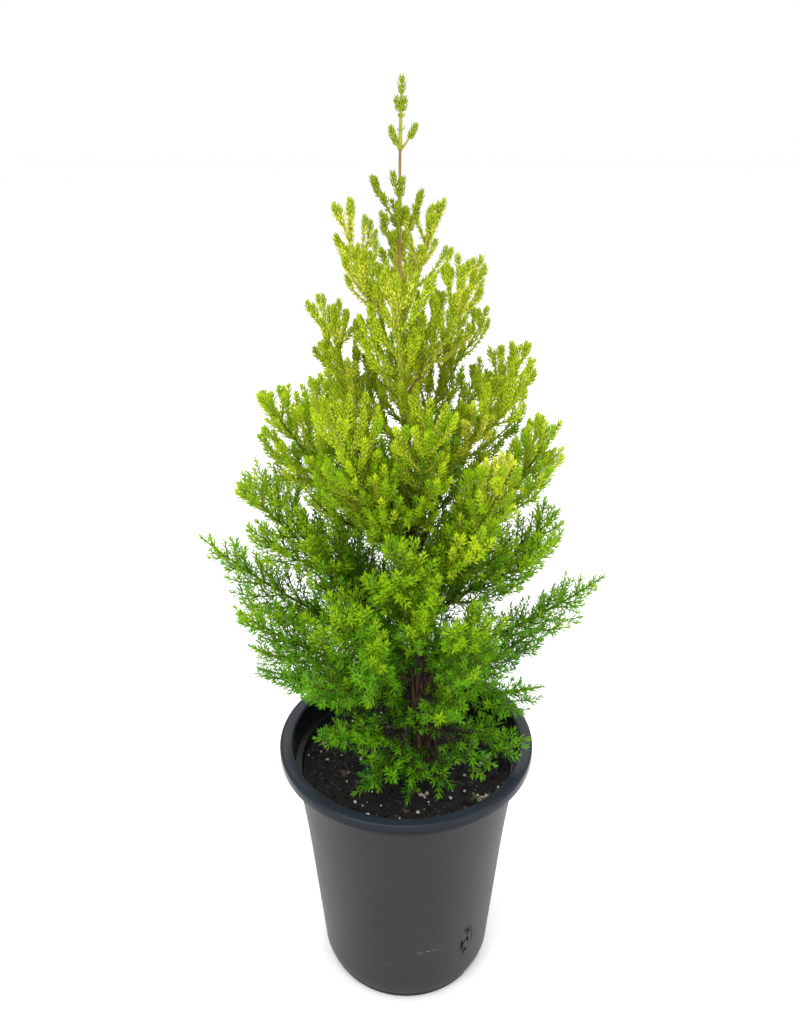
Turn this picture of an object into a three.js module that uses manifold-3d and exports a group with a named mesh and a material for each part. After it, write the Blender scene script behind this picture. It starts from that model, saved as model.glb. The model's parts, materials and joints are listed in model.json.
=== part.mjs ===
// A young lemon cypress in a plastic nursery pot, in millimetres, +Z up.
// The origin is the centre of the pot's flat underside. +Y points away from the front of the plant.
import * as THREE from "three";
import { mergeVertices } from "three/addons/utils/BufferGeometryUtils.js";
import Module from "manifold-3d";

const wasm = await Module();
wasm.setup();

const degrees = THREE.MathUtils.degToRad;

// ---------------------------------------------------------------- driving sizes

const potHeight = 180;
const lipRadius = 82.5;
const lipHeight = 7.5;
const lipWidth = 5;
const collarRadius = 75.5; // outside of the collar under the lip
const collarDepth = 18; // from the top of the pot to the ledge inside
const bodyTopRadius = 72.4;
const bodyFootRadius = 58;
const footStep = 2.2; // how far the foot ring is set in
const footHeight = 6;
const wall = 1.8;
const potFloor = 2.2;
const potSides = 36;

const drainNotchWidth = 26;
const drainNotchHeight = 7;
const drainNotchCorner = 1.5;
const drainNotchAzimuth = 60; // degrees from the front, towards +X, and again opposite
const drainHoleRadius = 6;
const drainHoleRing = 34;
const drainHoleCount = 5;

const seam = 0.3; // the gap kept between neighbouring solids
const soilBelowLip = 22;
const soilTop = potHeight - soilBelowLip;
const trunkFootZ = soilTop + seam;

const plantHeight = 407;
const plantTop = soilTop + plantHeight;
const crownWidest = 108;
const crownTaper = 100;
const crownPower = 1.6;
const trunkShare = 0.965; // the trunk's share of the height; the leader's foliage caps it
const trunkTipRadius = 0.6;
const trunkFootRadius = 7.6;
const flareWidth = 3.6;
const flareHeight = 9;
const trunkTaper = 1.7;
const footOffset = 12; // how far the foot stands to the right of the tip's line
const sway = 3.2;
const topLean = -2;
const depthSway = 1.5;
const trunkSides = 8;

const ringCount = 11; // branches that ring the trunk between the placed ones, lowest first
const lowestRingTip = 262; // heights of the lowest and highest of their tips above the floor
const highestRingTip = 506;
const firstAzimuth = 62; // degrees, 0 is +X and 270 is the front
const goldenAngle = 137.508;
const azimuthChoices = 12; // directions tried for each ring branch
const windowAzimuth = 270; // low in front there is a gap through which the trunk shows
const windowWidth = 50;
const windowTop = 300;
const lowestClimb = 22; // degrees, the slope from a ring branch's start to its tip
const climbGain = 43;
const bendPlace = 0.58; // where a branch's line bends, as a share of its length
const bendSag = 0.22; // how far it hangs through there, as a share of its rise
const limbShare = 0.27; // bare share of a low branch, which is its bough
const boughBelow = 212; // branches that start below this height have a bare bough
const boughRadius = 1.4; // of a bough high on the trunk
const boughGain = 1.0; // how much thicker one at the trunk's foot would be
const boughTaper = 0.35;
const seed = 41;

// The branches that give the crown its outline and its skirt, each from its own sizes: the
// direction, where it leaves the trunk, how high its tip is, and how far out that tip lies.
const placedBranches = [
  { azimuth: 246, startZ: 210, tipZ: 187, reach: 54 }, // front skirt
  { azimuth: 274, startZ: 204, tipZ: 179, reach: 44 },
  { azimuth: 300, startZ: 184, tipZ: 178, reach: 55 },
  { azimuth: 322, startZ: 196, tipZ: 190, reach: 68 },
  { azimuth: 341, startZ: 187, tipZ: 197, reach: 80 },
  { azimuth: 356, startZ: 206, tipZ: 222, reach: 86 },
  { azimuth: 310, startZ: 211, tipZ: 234, reach: 54 }, // clump right of the trunk
  { azimuth: 336, startZ: 223, tipZ: 262, reach: 66 },
  { azimuth: 214, startZ: 184, tipZ: 208, reach: 62 }, // low left
  { azimuth: 167, startZ: 190, tipZ: 216, reach: 78 },
  { azimuth: 184, startZ: 208, tipZ: 236, reach: 92 },
  { azimuth: 197, startZ: 221, tipZ: 290, reach: 100 },
  { azimuth: 178, startZ: 241, tipZ: 322, reach: 122 }, // long left
  { azimuth: 10, startZ: 212, tipZ: 254, reach: 88 }, // low right
  { azimuth: 359, startZ: 236, tipZ: 299, reach: 118 }, // long right
  { azimuth: 72, startZ: 196, tipZ: 222, reach: 84 }, // back skirt
  { azimuth: 120, startZ: 182, tipZ: 212, reach: 78 },
  { azimuth: 182, startZ: 270, tipZ: 360, reach: 94 }, // up the left side
  { azimuth: 178, startZ: 314, tipZ: 411, reach: 79 },
  { azimuth: 174, startZ: 378, tipZ: 458, reach: 50 },
  { azimuth: 2, startZ: 266, tipZ: 340, reach: 89 }, // up the right side
  { azimuth: 358, startZ: 298, tipZ: 396, reach: 85 },
  { azimuth: 6, startZ: 344, tipZ: 436, reach: 67 },
  { azimuth: 238, startZ: 234, tipZ: 312, reach: 74 }, // up the front
  { azimuth: 306, startZ: 238, tipZ: 304, reach: 76 },
  { azimuth: 268, startZ: 254, tipZ: 350, reach: 64 },
  { azimuth: 320, startZ: 286, tipZ: 388, reach: 72 },
  { azimuth: 234, startZ: 310, tipZ: 420, reach: 62 },
  { azimuth: 284, startZ: 322, tipZ: 422, reach: 50 },
  { azimuth: 262, startZ: 384, tipZ: 480, reach: 36 },
  { azimuth: 183, startZ: 442, tipZ: 508, reach: 34 }, // upper left
  { azimuth: 356, startZ: 410, tipZ: 484, reach: 38 }, // upper right
];

const leaderFrom = 0.85; // shares of the plant's height
const leaderRadius = 1.9;
const leaderSides = 6;
const leaderNeedle = 4.2;
const leaderShoot = 16;
const shootRadius = 0.9;
const shootNeedle = 3.4;

const needleReach = 5.6; // how far needles stand out of a twig at its root
const needleFade = 0.45; // the share of that reach lost by its tip
const whorlSpacing = 13;
const whorlTurn = 0.35; // radians from one whorl to the next
const twigRadius = 1.9;
const topSlimness = 0.5; // how much slimmer sprays are near the top
const twigLift = 0.5; // how strongly a twig bends up
const twigShare = 0.8; // length of the longest twig at a stem's root, as a share of the stem's
const twigFade = 0.68; // how much of that share is lost by the stem's tip
const twigSpread = 0.3; // the random part of a twig's length
const leastStem = 56; // the twigs of a short stem are as long as if it had this length
const shortestTwig = 11;
const twigAngle = degrees(42); // between a twig's root and its stem
const rootPlace = 0.75; // where a stem starts inside the trunk, before it is cut clear of it
const twigSides = 3; // sides of each stretch of a stem that may bear a twig
const roomBetweenTwigs = 6;
const needleGap = 0.4;
const needleLean = 0.95; // how far a needle's point lies ahead of its own ring, in whorls
const roomBetweenMasses = 1.3;
const tipSpread = 2.5; // how far a twig may pass its branch's own tip, outwards and upwards
const tipRise = 4;

// ---------------------------------------------------------------- finishes

const finish = (color, roughness, metalness = 0) =>
  new THREE.MeshStandardMaterial({ color, roughness, metalness });
const potPlastic = finish(0x2f3538, 0.45);
const pottingSoil = finish(0x17120f, 0.95);
const bark = finish(0x4a2f20, 0.9);
const foliageTints = [
  { upTo: 0.16, material: finish(0x4f8f2a, 0.7) },
  { upTo: 0.36, material: finish(0x62a02a, 0.7) },
  { upTo: 0.62, material: finish(0x86ab24, 0.7) },
  { upTo: 1.01, material: finish(0x9db32a, 0.7) },
];
const foliageAt = (share) => foliageTints.find((tint) => share <= tint.upTo).material;

// ---------------------------------------------------------------- small helpers

const up = new THREE.Vector3(0, 0, 1);

function seededRandom(start) {
  let state = start >>> 0;
  return () => {
    state = (state + 0x6d2b79f5) >>> 0;
    let mixed = Math.imul(state ^ (state >>> 15), state | 1);
    mixed ^= mixed + Math.imul(mixed ^ (mixed >>> 7), mixed | 61);
    return ((mixed ^ (mixed >>> 14)) >>> 0) / 4294967296;
  };
}

// A closed three.js geometry as a manifold solid.
function solidFrom(geometry) {
  const bare = geometry.clone();
  bare.deleteAttribute("normal");
  bare.deleteAttribute("uv");
  const merged = mergeVertices(bare, 1e-4);
  return new wasm.Manifold(
    new wasm.Mesh({
      numProp: 3,
      vertProperties: merged.attributes.position.array,
      triVerts: new Uint32Array(merged.index.array),
    }),
  );
}

// The largest of a solid's separate bodies. Scraps left by a cut are dropped.
function largestOf(solid) {
  const bodies = solid.decompose();
  return bodies.reduce((largest, body) => (body.volume() > largest.volume() ? body : largest));
}

function geometryFrom(solid) {
  const mesh = solid.getMesh();
  const geometry = new THREE.BufferGeometry();
  geometry.setAttribute("position", new THREE.BufferAttribute(mesh.vertProperties, 3));
  geometry.setIndex(new THREE.BufferAttribute(mesh.triVerts, 1));
  const shaded = geometry.toNonIndexed();
  shaded.computeVertexNormals();
  return shaded;
}

const tree = new THREE.Group();
tree.name = "potted_cypress";

function addPart(name, geometry, material) {
  const mesh = new THREE.Mesh(geometry, material);
  mesh.name = name;
  tree.add(mesh);
}

// A closed body that grows ring by ring. An opening is a list of corners that runs anticlockwise
// when seen from outside, and every opening is closed in the end.
class Body {
  positions = [];
  faces = [];

  corner(point) {
    this.positions.push(point.x, point.y, point.z);
    return this.positions.length / 3 - 1;
  }

  at(corner) {
    return new THREE.Vector3().fromArray(this.positions, corner * 3);
  }

  // Closes an opening flat, or with a needle where there is a point for one.
  close(opening, point = null) {
    if (point) {
      const apex = this.corner(point);
      opening.forEach((corner, k) => this.faces.push(corner, opening[(k + 1) % opening.length], apex));
    } else {
      for (let k = 2; k < opening.length; k += 1) this.faces.push(opening[0], opening[k - 1], opening[k]);
    }
  }

  // Joins an opening to a ring that may have another number of corners. Of all ways to turn the
  // two against each other it takes the one with the shortest edges.
  join(opening, ring) {
    let shortest = Infinity;
    let best = [];
    for (let start = 0; start < opening.length; start += 1) {
      for (let turn = 0; turn < ring.length; turn += 1) {
        const band = [];
        let length = 0;
        for (let i = 0, j = 0; i < opening.length || j < ring.length; ) {
          const low = opening[(i + start) % opening.length];
          const high = ring[(j + turn) % ring.length];
          length += this.at(low).distanceTo(this.at(high));
          if ((i + 1) / opening.length <= (j + 1) / ring.length) {
            i += 1;
            band.push(low, opening[(i + start) % opening.length], high);
          } else {
            j += 1;
            band.push(low, ring[(j + turn) % ring.length], high);
          }
        }
        if (length < shortest) {
          shortest = length;
          best = band;
        }
      }
    }
    this.faces.push(...best);
  }

  geometry() {
    const geometry = new THREE.BufferGeometry();
    geometry.setAttribute("position", new THREE.Float32BufferAttribute(this.positions, 3));
    geometry.setIndex(this.faces);
    return geometry;
  }
}

// Plain rings joined into a body with flat ends.
function bodyFromRings(rings) {
  const body = new Body();
  const corners = rings.map((ring) => ring.map((point) => body.corner(point)));
  body.close([...corners[0]].reverse());
  for (let i = 1; i < corners.length; i += 1) {
    corners[0].forEach((_, side) => {
      const next = (side + 1) % corners[0].length;
      body.close([corners[i - 1][side], corners[i - 1][next], corners[i][next], corners[i][side]]);
    });
  }
  body.close(corners.at(-1));
  return body.geometry();
}

// The corners of a ring round a curve's line, at one of its frames.
function ringAt(centre, frames, index, radius, sides, turn = 0) {
  return Array.from({ length: sides }, (_, side) => {
    const angle = turn + (side / sides) * 2 * Math.PI;
    return centre
      .clone()
      .addScaledVector(frames.normals[index], radius * Math.cos(angle))
      .addScaledVector(frames.binormals[index], radius * Math.sin(angle));
  });
}

// A bare limb: a tapering tube round a curve, with flat ends.
function limb(curve, segments, sides, radiusAt) {
  const frames = curve.computeFrenetFrames(segments);
  const rings = [];
  for (let i = 0; i <= segments; i += 1) {
    const share = i / segments;
    rings.push(ringAt(curve.getPointAt(share), frames, i, radiusAt(share), sides));
  }
  return bodyFromRings(rings);
}

// The whorls of a needled stem: the rings of a slim three-sided core that ends in a point, and for
// each side of each stretch between two rings the point that a needle would reach.
function whorlsAlong(curve, radius, reach, sides = 3, tipShare = 0.5) {
  const count = Math.max(2, Math.round(curve.getLength() / whorlSpacing));
  const frames = curve.computeFrenetFrames(count);
  const stretches = Array.from({ length: count }, (_, i) => {
    const share = i / count;
    const turn = i * whorlTurn;
    const needleEnd = curve.getPointAt(share + (i < count - 1 ? needleLean : 0.6) / count);
    const needle = reach * (1 - needleFade * share);
    const core = radius * (1 - (1 - tipShare) * share);
    return {
      share,
      ring: ringAt(curve.getPointAt(share), frames, i, core, sides, turn),
      needles: ringAt(needleEnd, frames, i, needle, sides, turn + Math.PI / sides + whorlTurn / 2),
      middle: curve.getPointAt(share + 0.5 / count),
      along: curve.getTangentAt(share + 0.5 / count),
      twigs: [],
    };
  });
  return { stretches, end: curve.getPointAt(1), trace: curve.getPoints(2 * count) };
}

// Adds a needled stem to a body, from an opening or from its own flat foot. Twigs grow out of its
// sides in place of needles.
function addStem(body, stem, opening = null) {
  const rings = stem.stretches.map(({ ring }) => ring.map((point) => body.corner(point)));
  const end = body.corner(stem.end);
  const firstRing = opening ? 1 : 0;
  if (opening) body.join(opening, rings[1]);
  else body.close([...rings[0]].reverse());
  stem.stretches.slice(firstRing).forEach(({ needles, twigs }, k) => {
    const low = rings[k + firstRing];
    const high = rings[k + firstRing + 1];
    low.forEach((corner, side) => {
      const next = (side + 1) % low.length;
      const sideOpening = high ? [corner, low[next], high[next], high[side]] : [corner, low[next], end];
      if (twigs[side]) addStem(body, twigs[side], sideOpening);
      else body.close(sideOpening, needles[side]);
    });
  });
}

// ---------------------------------------------------------------- trunk

class TrunkLine extends THREE.Curve {
  getPoint(share, target = new THREE.Vector3()) {
    const x =
      footOffset * (1 - share) ** 1.4 - sway * Math.sin(Math.PI * share ** 2) + topLean * share;
    const y = depthSway * Math.sin(2 * Math.PI * share);
    return target.set(x, y, trunkFootZ + share * (plantHeight - seam));
  }
}
const trunkLine = new TrunkLine();

const trunkRadiusAt = (share) =>
  trunkTipRadius +
  (trunkFootRadius - trunkTipRadius) * (1 - share) ** trunkTaper +
  flareWidth * Math.exp((-share * plantHeight) / flareHeight);

// The trunk is cut flat at the soil, so its rings are level.
function trunkBody(extraRadius = 0) {
  const ringShares = [0, 0.012, 0.03, 0.07, 0.14, 0.24, 0.34, 0.44, 0.55, 0.66, 0.77, 0.87, 1];
  const rings = ringShares.map((step) => {
    const share = step * trunkShare;
    const centre = trunkLine.getPoint(share);
    const radius = trunkRadiusAt(share) + extraRadius;
    return Array.from({ length: trunkSides }, (_, side) => {
      const angle = (side / trunkSides) * 2 * Math.PI;
      const offset = new THREE.Vector3(Math.cos(angle), Math.sin(angle), 0);
      return centre.clone().addScaledVector(offset, radius);
    });
  });
  return bodyFromRings(rings);
}

addPart("trunk", trunkBody(), bark);
const trunkRoom = solidFrom(trunkBody(seam));

// ---------------------------------------------------------------- pot

function potProfile() {
  const bodyAt = (z) => bodyFootRadius + ((bodyTopRadius - bodyFootRadius) * z) / potHeight;
  const ledgeZ = potHeight - collarDepth;
  const round = 1.4;
  const outside = [
    [0, 0],
    [bodyFootRadius - footStep, 0],
    [bodyFootRadius - footStep + 0.6, footHeight - 1],
    [bodyFootRadius, footHeight + 1],
    [bodyAt(ledgeZ - 4), ledgeZ - 4],
    [collarRadius - 0.6, ledgeZ],
    [collarRadius, potHeight - lipHeight],
    [lipRadius - 0.8, potHeight - lipHeight],
    [lipRadius, potHeight - lipHeight + round],
    [lipRadius - 0.4, potHeight - round],
    [lipRadius - round - 0.4, potHeight],
  ];
  const inside = [
    [lipRadius - lipWidth, potHeight],
    [collarRadius - wall + 0.9, potHeight - round],
    [collarRadius - wall, ledgeZ + 2],
    [bodyAt(ledgeZ) - wall, ledgeZ],
    [bodyFootRadius - footStep - wall, potFloor],
    [0, potFloor],
  ];
  return [...outside, ...inside].map(([radius, z]) => new THREE.Vector2(radius, z));
}

// A lathe turned from three.js's Y axis to Z.
function turned(profile, sides) {
  const geometry = new THREE.LatheGeometry(profile, sides);
  return geometry.rotateX(Math.PI / 2);
}

// A slot cut through the foot, open below.
function drainNotch(azimuth) {
  const half = drainNotchWidth / 2;
  const shoulder = drainNotchHeight - drainNotchCorner;
  const slot = new THREE.Shape();
  slot.moveTo(-half, -1);
  slot.lineTo(half, -1);
  slot.lineTo(half, shoulder);
  slot.quadraticCurveTo(half, drainNotchHeight, half - drainNotchCorner, drainNotchHeight);
  slot.lineTo(drainNotchCorner - half, drainNotchHeight);
  slot.quadraticCurveTo(-half, drainNotchHeight, -half, shoulder);
  const geometry = new THREE.ExtrudeGeometry(slot, {
    depth: 12,
    bevelEnabled: false,
    curveSegments: 3,
  });
  geometry.rotateX(Math.PI / 2);
  geometry.translate(0, -(bodyFootRadius - footStep - 6), 0);
  return geometry.rotateZ(degrees(azimuth));
}

function drainHole(index) {
  const geometry = new THREE.CylinderGeometry(drainHoleRadius, drainHoleRadius, 12, 12);
  geometry.rotateX(Math.PI / 2);
  const angle = (index / drainHoleCount) * 2 * Math.PI;
  return geometry.translate(drainHoleRing * Math.cos(angle), drainHoleRing * Math.sin(angle), 0);
}

function potBody() {
  let body = solidFrom(turned(potProfile(), potSides));
  [drainNotchAzimuth, drainNotchAzimuth + 180].forEach((azimuth) => {
    body = body.subtract(solidFrom(drainNotch(azimuth)));
  });
  for (let i = 0; i < drainHoleCount; i += 1) body = body.subtract(solidFrom(drainHole(i)));
  return body;
}

addPart("pot", geometryFrom(potBody()), potPlastic);

// ---------------------------------------------------------------- soil

// The soil fills the pot from its floor to a level top.
function soilBody() {
  const bodyAt = (z) =>
    bodyFootRadius - footStep + ((bodyTopRadius - bodyFootRadius + footStep) * z) / potHeight;
  const inset = wall + seam + 0.5;
  const floor = potFloor + seam;
  const crown = [
    [0, soilTop],
    [22, soilTop],
    [48, soilTop - 2],
    [bodyAt(soilTop) - inset, soilTop - 1],
  ];
  const profile = [[0, floor], [bodyAt(floor) - inset, floor], ...crown.reverse()];
  return turned(
    profile.map(([radius, z]) => new THREE.Vector2(radius, z)),
    32,
  );
}

addPart("soil", soilBody(), pottingSoil);

// ---------------------------------------------------------------- branches

// The crown's half width at a height, where the tips of the ring branches lie.
function crownRadius(z) {
  return crownWidest * (1 - Math.exp(-(plantTop - z) / crownTaper)) ** crownPower;
}

// How steeply the straight line from a ring branch's start to its tip climbs.
const climbAt = (z) =>
  degrees(lowestClimb + climbGain * THREE.MathUtils.smoothstep(z, lowestRingTip - 40, highestRingTip));

// A branch's line: a parabola from the trunk to the tip, flatter at first and then rising.
// The tip's place is measured from the pot's centre line.
function branchLine(share, azimuth, reach, rise) {
  const start = trunkLine.getPoint(share);
  const tip = new THREE.Vector3(reach * Math.cos(azimuth), reach * Math.sin(azimuth), start.z + rise);
  const bend = start.clone().lerp(tip, bendPlace);
  bend.z -= Math.abs(rise) * bendSag - Math.min(rise, 0);
  return new THREE.QuadraticBezierCurve3(start, bend, tip);
}

// The stretch of a parabola between two shares of its own parameter.
function stretch(line, from, to) {
  const start = line.getPoint(from);
  const end = line.getPoint(to);
  const bend = start.clone().addScaledVector(line.v1.clone().sub(line.v0), (to - from) * (1 - from));
  bend.addScaledVector(line.v2.clone().sub(line.v1), (to - from) * from);
  return new THREE.QuadraticBezierCurve3(start, bend, end);
}

// Gives a branch its line and the points that stand for it when distances are measured.
function withLine(branch) {
  const share = (branch.startZ - trunkFootZ) / plantHeight;
  const rise = branch.tipZ - branch.startZ;
  const line = branchLine(share, degrees(branch.azimuth), branch.reach, rise);
  return { ...branch, share, line, trace: line.getPoints(20) };
}

// How far the outer half of a branch stays from all the others.
function clearance(branch, others) {
  const outer = branch.trace.slice(Math.floor(branch.trace.length / 2));
  return Math.min(...others.flatMap(({ trace }) => outer.map((at) => distanceToTrace(at, trace))));
}

const inWindow = ({ azimuth, startZ }) =>
  startZ < windowTop && Math.abs(azimuth - windowAzimuth) < windowWidth / 2;

// Each ring branch grows into the widest gap between the branches already there.
function withRingBranches(placed) {
  const branches = placed.map(withLine);
  for (let i = 0; i < ringCount; i += 1) {
    const random = seededRandom(seed + i);
    const tipZ = lowestRingTip + (highestRingTip - lowestRingTip) * (i / (ringCount - 1));
    const reach = crownRadius(tipZ) * (0.86 + 0.14 * random());
    const startZ = tipZ - reach * Math.tan(climbAt(tipZ));
    const choices = Array.from({ length: azimuthChoices }, (_, choice) => {
      const azimuth = firstAzimuth + i * goldenAngle + (choice * 360) / azimuthChoices;
      return withLine({ azimuth: azimuth % 360, startZ, tipZ, reach });
    });
    const gaps = choices.map((choice) => (inWindow(choice) ? 0 : clearance(choice, branches)));
    branches.push(choices[gaps.indexOf(Math.max(...gaps))]);
  }
  return branches.sort((a, b) => a.startZ - b.startZ);
}

function distanceToTrace(point, trace) {
  const segment = new THREE.Line3();
  const nearest = new THREE.Vector3();
  let least = Infinity;
  for (let i = 0; i < trace.length - 1; i += 1) {
    segment.set(trace[i], trace[i + 1]);
    segment.closestPointToPoint(point, true, nearest);
    least = Math.min(least, nearest.distanceTo(point));
  }
  return least;
}

function distanceToTrunk(point) {
  const share = THREE.MathUtils.clamp((point.z - trunkFootZ) / plantHeight, 0, trunkShare);
  const centre = trunkLine.getPoint(share);
  return Math.hypot(point.x - centre.x, point.y - centre.y) - trunkRadiusAt(share);
}

// All branches, numbered from the lowest start upwards.
const branches = withRingBranches(placedBranches);
branches.forEach((branch, index) => {
  branch.number = String(index + 1).padStart(2, "0");
  branch.random = seededRandom(seed * 100 + index);
  branch.hasBough = branch.startZ < boughBelow;
});

const leaderTrace = [leaderFrom - 0.01, 1].map((share) => trunkLine.getPoint(share));

// A mass's own space: nearer to its own stem than to any other, clear of the trunk, above the
// soil, and not in the pot's lip.
function inOwnSpace(point, owner) {
  const radius = Math.hypot(point.x, point.y);
  const highest = Math.max(owner.tipZ + tipRise, owner.startZ);
  if (radius > owner.reach + tipSpread || point.z > highest) return false;
  if (point.z < soilTop + 1.5 || distanceToTrunk(point) < 1) return false;
  if (point.z < potHeight + 2 && radius > collarRadius - wall - 3) return false;
  const own = distanceToTrace(point, owner.trace);
  if (distanceToTrace(point, leaderTrace) < own + roomBetweenMasses + leaderRadius) return false;
  return !branches.some(
    (other) => other !== owner && distanceToTrace(point, other.trace) < own + roomBetweenMasses,
  );
}

// A twig's line: it leaves its stem on the side of a needle and bends up towards the light.
function twigLine(start, along, needle, length) {
  const away = needle.clone().sub(start).projectOnPlane(along).normalize();
  const direction = away.multiplyScalar(Math.sin(twigAngle));
  direction.addScaledVector(along, Math.cos(twigAngle));
  const bend = start.clone().addScaledVector(direction, length * 0.5);
  const tip = start.clone().addScaledVector(direction.addScaledVector(up, twigLift).normalize(), length);
  return new THREE.QuadraticBezierCurve3(start, bend, tip);
}

// The longest twig from this needle's place that keeps to the mass's own space and stands clear of
// the twigs that are there already, or nothing.
function grownTwig(start, along, needle, longest, hasRoom, twigs) {
  for (let length = longest; length > shortestTwig; length *= 0.8) {
    const line = twigLine(start, along, needle, length);
    const points = line.getPoints(6);
    const outer = points.slice(3);
    const isClear = twigs.every(({ trace }) =>
      outer.every((point) => distanceToTrace(point, trace) > roomBetweenTwigs),
    );
    if (isClear && points.slice(1).every(hasRoom)) return line;
  }
  return null;
}

// Leaves out each needle that has no room, or that would reach into another twig's needles.
function thinOut(stem, stems, hasRoom) {
  const others = stems.filter((other) => other !== stem);
  const fits = (needle) => {
    const own = distanceToTrace(needle, stem.trace) + needleGap;
    return hasRoom(needle) && others.every(({ trace }) => distanceToTrace(needle, trace) > own);
  };
  stem.stretches.forEach((part) => {
    part.needles = part.needles.map((needle) => (needle && fits(needle) ? needle : null));
  });
}

// Draws a ring in round its middle.
function narrow(ring, radius) {
  const middle = ring.reduce((sum, point) => sum.add(point), new THREE.Vector3());
  middle.divideScalar(ring.length);
  ring.forEach((point) => point.sub(middle).setLength(radius).add(middle));
}

// A foliage mass: one needled stem with needled twigs in place of some of its needles.
function foliageMass(branch) {
  const hasRoom = (point) => inOwnSpace(point, branch);
  const gap = branch.hasBough ? seam : trunkRadiusAt(branch.share) * rootPlace;
  const stemLine = stretch(branch.line, (branch.hasBough ? limbShare : 0) + gap / branch.reach, 1);
  const slim = 1 - topSlimness * branch.share ** 1.5;
  const radius = twigRadius * slim;
  const reach = needleReach * slim;
  const stem = whorlsAlong(stemLine, radius * 1.1, reach);
  if (!branch.hasBough) narrow(stem.stretches[0].ring, radius * 0.6);
  const twigs = [];
  const firstTwig = branch.hasBough ? 0 : 1;
  stem.stretches.slice(0, -1).forEach(({ share, needles, middle, along, twigs: grown }, i) => {
    if (i < firstTwig) return;
    for (let k = 0; k < twigSides; k += 1) {
      const side = (i + k) % 3;
      const usual = Math.max(stemLine.getLength(), leastStem) * (twigShare - twigFade * share);
      const longest = usual * (1 + twigSpread * (branch.random() - 0.5));
      const line = grownTwig(middle, along, needles[side], longest, hasRoom, twigs);
      if (line) {
        grown[side] = whorlsAlong(line, radius, reach);
        twigs.push(grown[side]);
      }
    }
  });
  const stems = [stem, ...twigs];
  stems.forEach((each) => thinOut(each, stems, hasRoom));
  const body = new Body();
  addStem(body, stem);
  if (branch.hasBough) return body.geometry();
  return geometryFrom(largestOf(solidFrom(body.geometry()).subtract(trunkRoom)));
}

// The leader: a thin needled sleeve round the top of the trunk and over its tip, with a few short
// upright shoots.
function leaderBody() {
  const from = trunkLine.getPoint(leaderFrom);
  const line = new THREE.LineCurve3(from, trunkLine.getPoint(1));
  const leader = whorlsAlong(line, leaderRadius, leaderNeedle, leaderSides, 0.9);
  leader.stretches.slice(0, -1).forEach(({ needles, middle, along, twigs, share }, i) => {
    const length = leaderShoot * (1 - 0.5 * share);
    const shootSides = i % 2 === 0 ? [i, i + leaderSides / 2] : [];
    shootSides.forEach((k) => {
      const side = k % leaderSides;
      const line = twigLine(middle, along, needles[side], length);
      twigs[side] = whorlsAlong(line, shootRadius, shootNeedle);
      [side + 1, side + leaderSides - 1].forEach((near) => (needles[near % leaderSides] = null));
    });
  });
  const shoots = leader.stretches.flatMap(({ twigs }) => twigs.filter(Boolean));
  const stems = [leader, ...shoots];
  stems.forEach((stem) => thinOut(stem, stems, () => true));
  const body = new Body();
  addStem(body, leader);
  return geometryFrom(largestOf(solidFrom(body.geometry()).subtract(trunkRoom)));
}

addPart("leader", leaderBody(), foliageAt(1));

// A low branch is a bare bough with its mass beyond it. Any other is a mass from the trunk on.
branches.forEach((branch) => {
  if (branch.hasBough) {
    const inner = stretch(branch.line, 0, limbShare);
    const thick = boughRadius + boughGain * (1 - branch.share);
    const bough = solidFrom(limb(inner, 3, 6, (along) => thick * (1 - boughTaper * along)));
    addPart(`bough_${branch.number}`, geometryFrom(bough.subtract(trunkRoom)), bark);
  }
  addPart(`foliage_${branch.number}`, foliageMass(branch), foliageAt(branch.share));
});

export default tree;
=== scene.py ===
# %% [markdown]
# # A potted lemon cypress
# The plant is a young cypress in a plastic nursery pot. The fixed frame already holds its plain
# solids: pot, soil, trunk, boughs and masses of foliage. This lesson dresses each of them. Pot and
# soil get finer meshes over the same sizes, bark with real relief goes over the limbs, and every
# mass of foliage is grown again by the rule that made it, down to single needles.

# %% Load the frame
import json
import math

import bpy
import numpy as np
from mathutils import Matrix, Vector, noise

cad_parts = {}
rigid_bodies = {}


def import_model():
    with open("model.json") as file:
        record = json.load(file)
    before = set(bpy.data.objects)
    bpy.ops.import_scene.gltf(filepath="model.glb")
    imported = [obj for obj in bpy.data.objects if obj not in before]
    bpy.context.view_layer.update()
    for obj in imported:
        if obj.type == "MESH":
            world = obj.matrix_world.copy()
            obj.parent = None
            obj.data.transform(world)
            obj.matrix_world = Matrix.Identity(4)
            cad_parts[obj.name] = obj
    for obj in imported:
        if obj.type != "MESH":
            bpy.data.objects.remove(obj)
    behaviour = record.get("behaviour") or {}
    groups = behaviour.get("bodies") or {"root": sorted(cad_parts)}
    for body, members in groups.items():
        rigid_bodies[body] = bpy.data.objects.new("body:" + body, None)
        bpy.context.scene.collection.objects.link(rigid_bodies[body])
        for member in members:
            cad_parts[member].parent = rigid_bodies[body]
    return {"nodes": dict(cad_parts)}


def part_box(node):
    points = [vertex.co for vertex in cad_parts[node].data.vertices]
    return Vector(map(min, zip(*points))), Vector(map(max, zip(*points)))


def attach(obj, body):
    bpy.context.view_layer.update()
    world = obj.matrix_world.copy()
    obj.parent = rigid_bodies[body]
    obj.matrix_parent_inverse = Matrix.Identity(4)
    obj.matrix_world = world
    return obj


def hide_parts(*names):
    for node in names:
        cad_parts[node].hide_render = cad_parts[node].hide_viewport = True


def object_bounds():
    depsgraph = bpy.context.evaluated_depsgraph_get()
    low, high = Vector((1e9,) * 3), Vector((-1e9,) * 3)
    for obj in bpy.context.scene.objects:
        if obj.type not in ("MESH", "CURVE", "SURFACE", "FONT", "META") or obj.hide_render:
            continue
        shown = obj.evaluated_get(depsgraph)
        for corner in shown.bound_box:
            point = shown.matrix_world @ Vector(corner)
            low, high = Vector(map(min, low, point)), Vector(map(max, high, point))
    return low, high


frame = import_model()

cad_box = [list(corner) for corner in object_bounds()]
pot_low, pot_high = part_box("pot")
soil_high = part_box("soil")[1]
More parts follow.
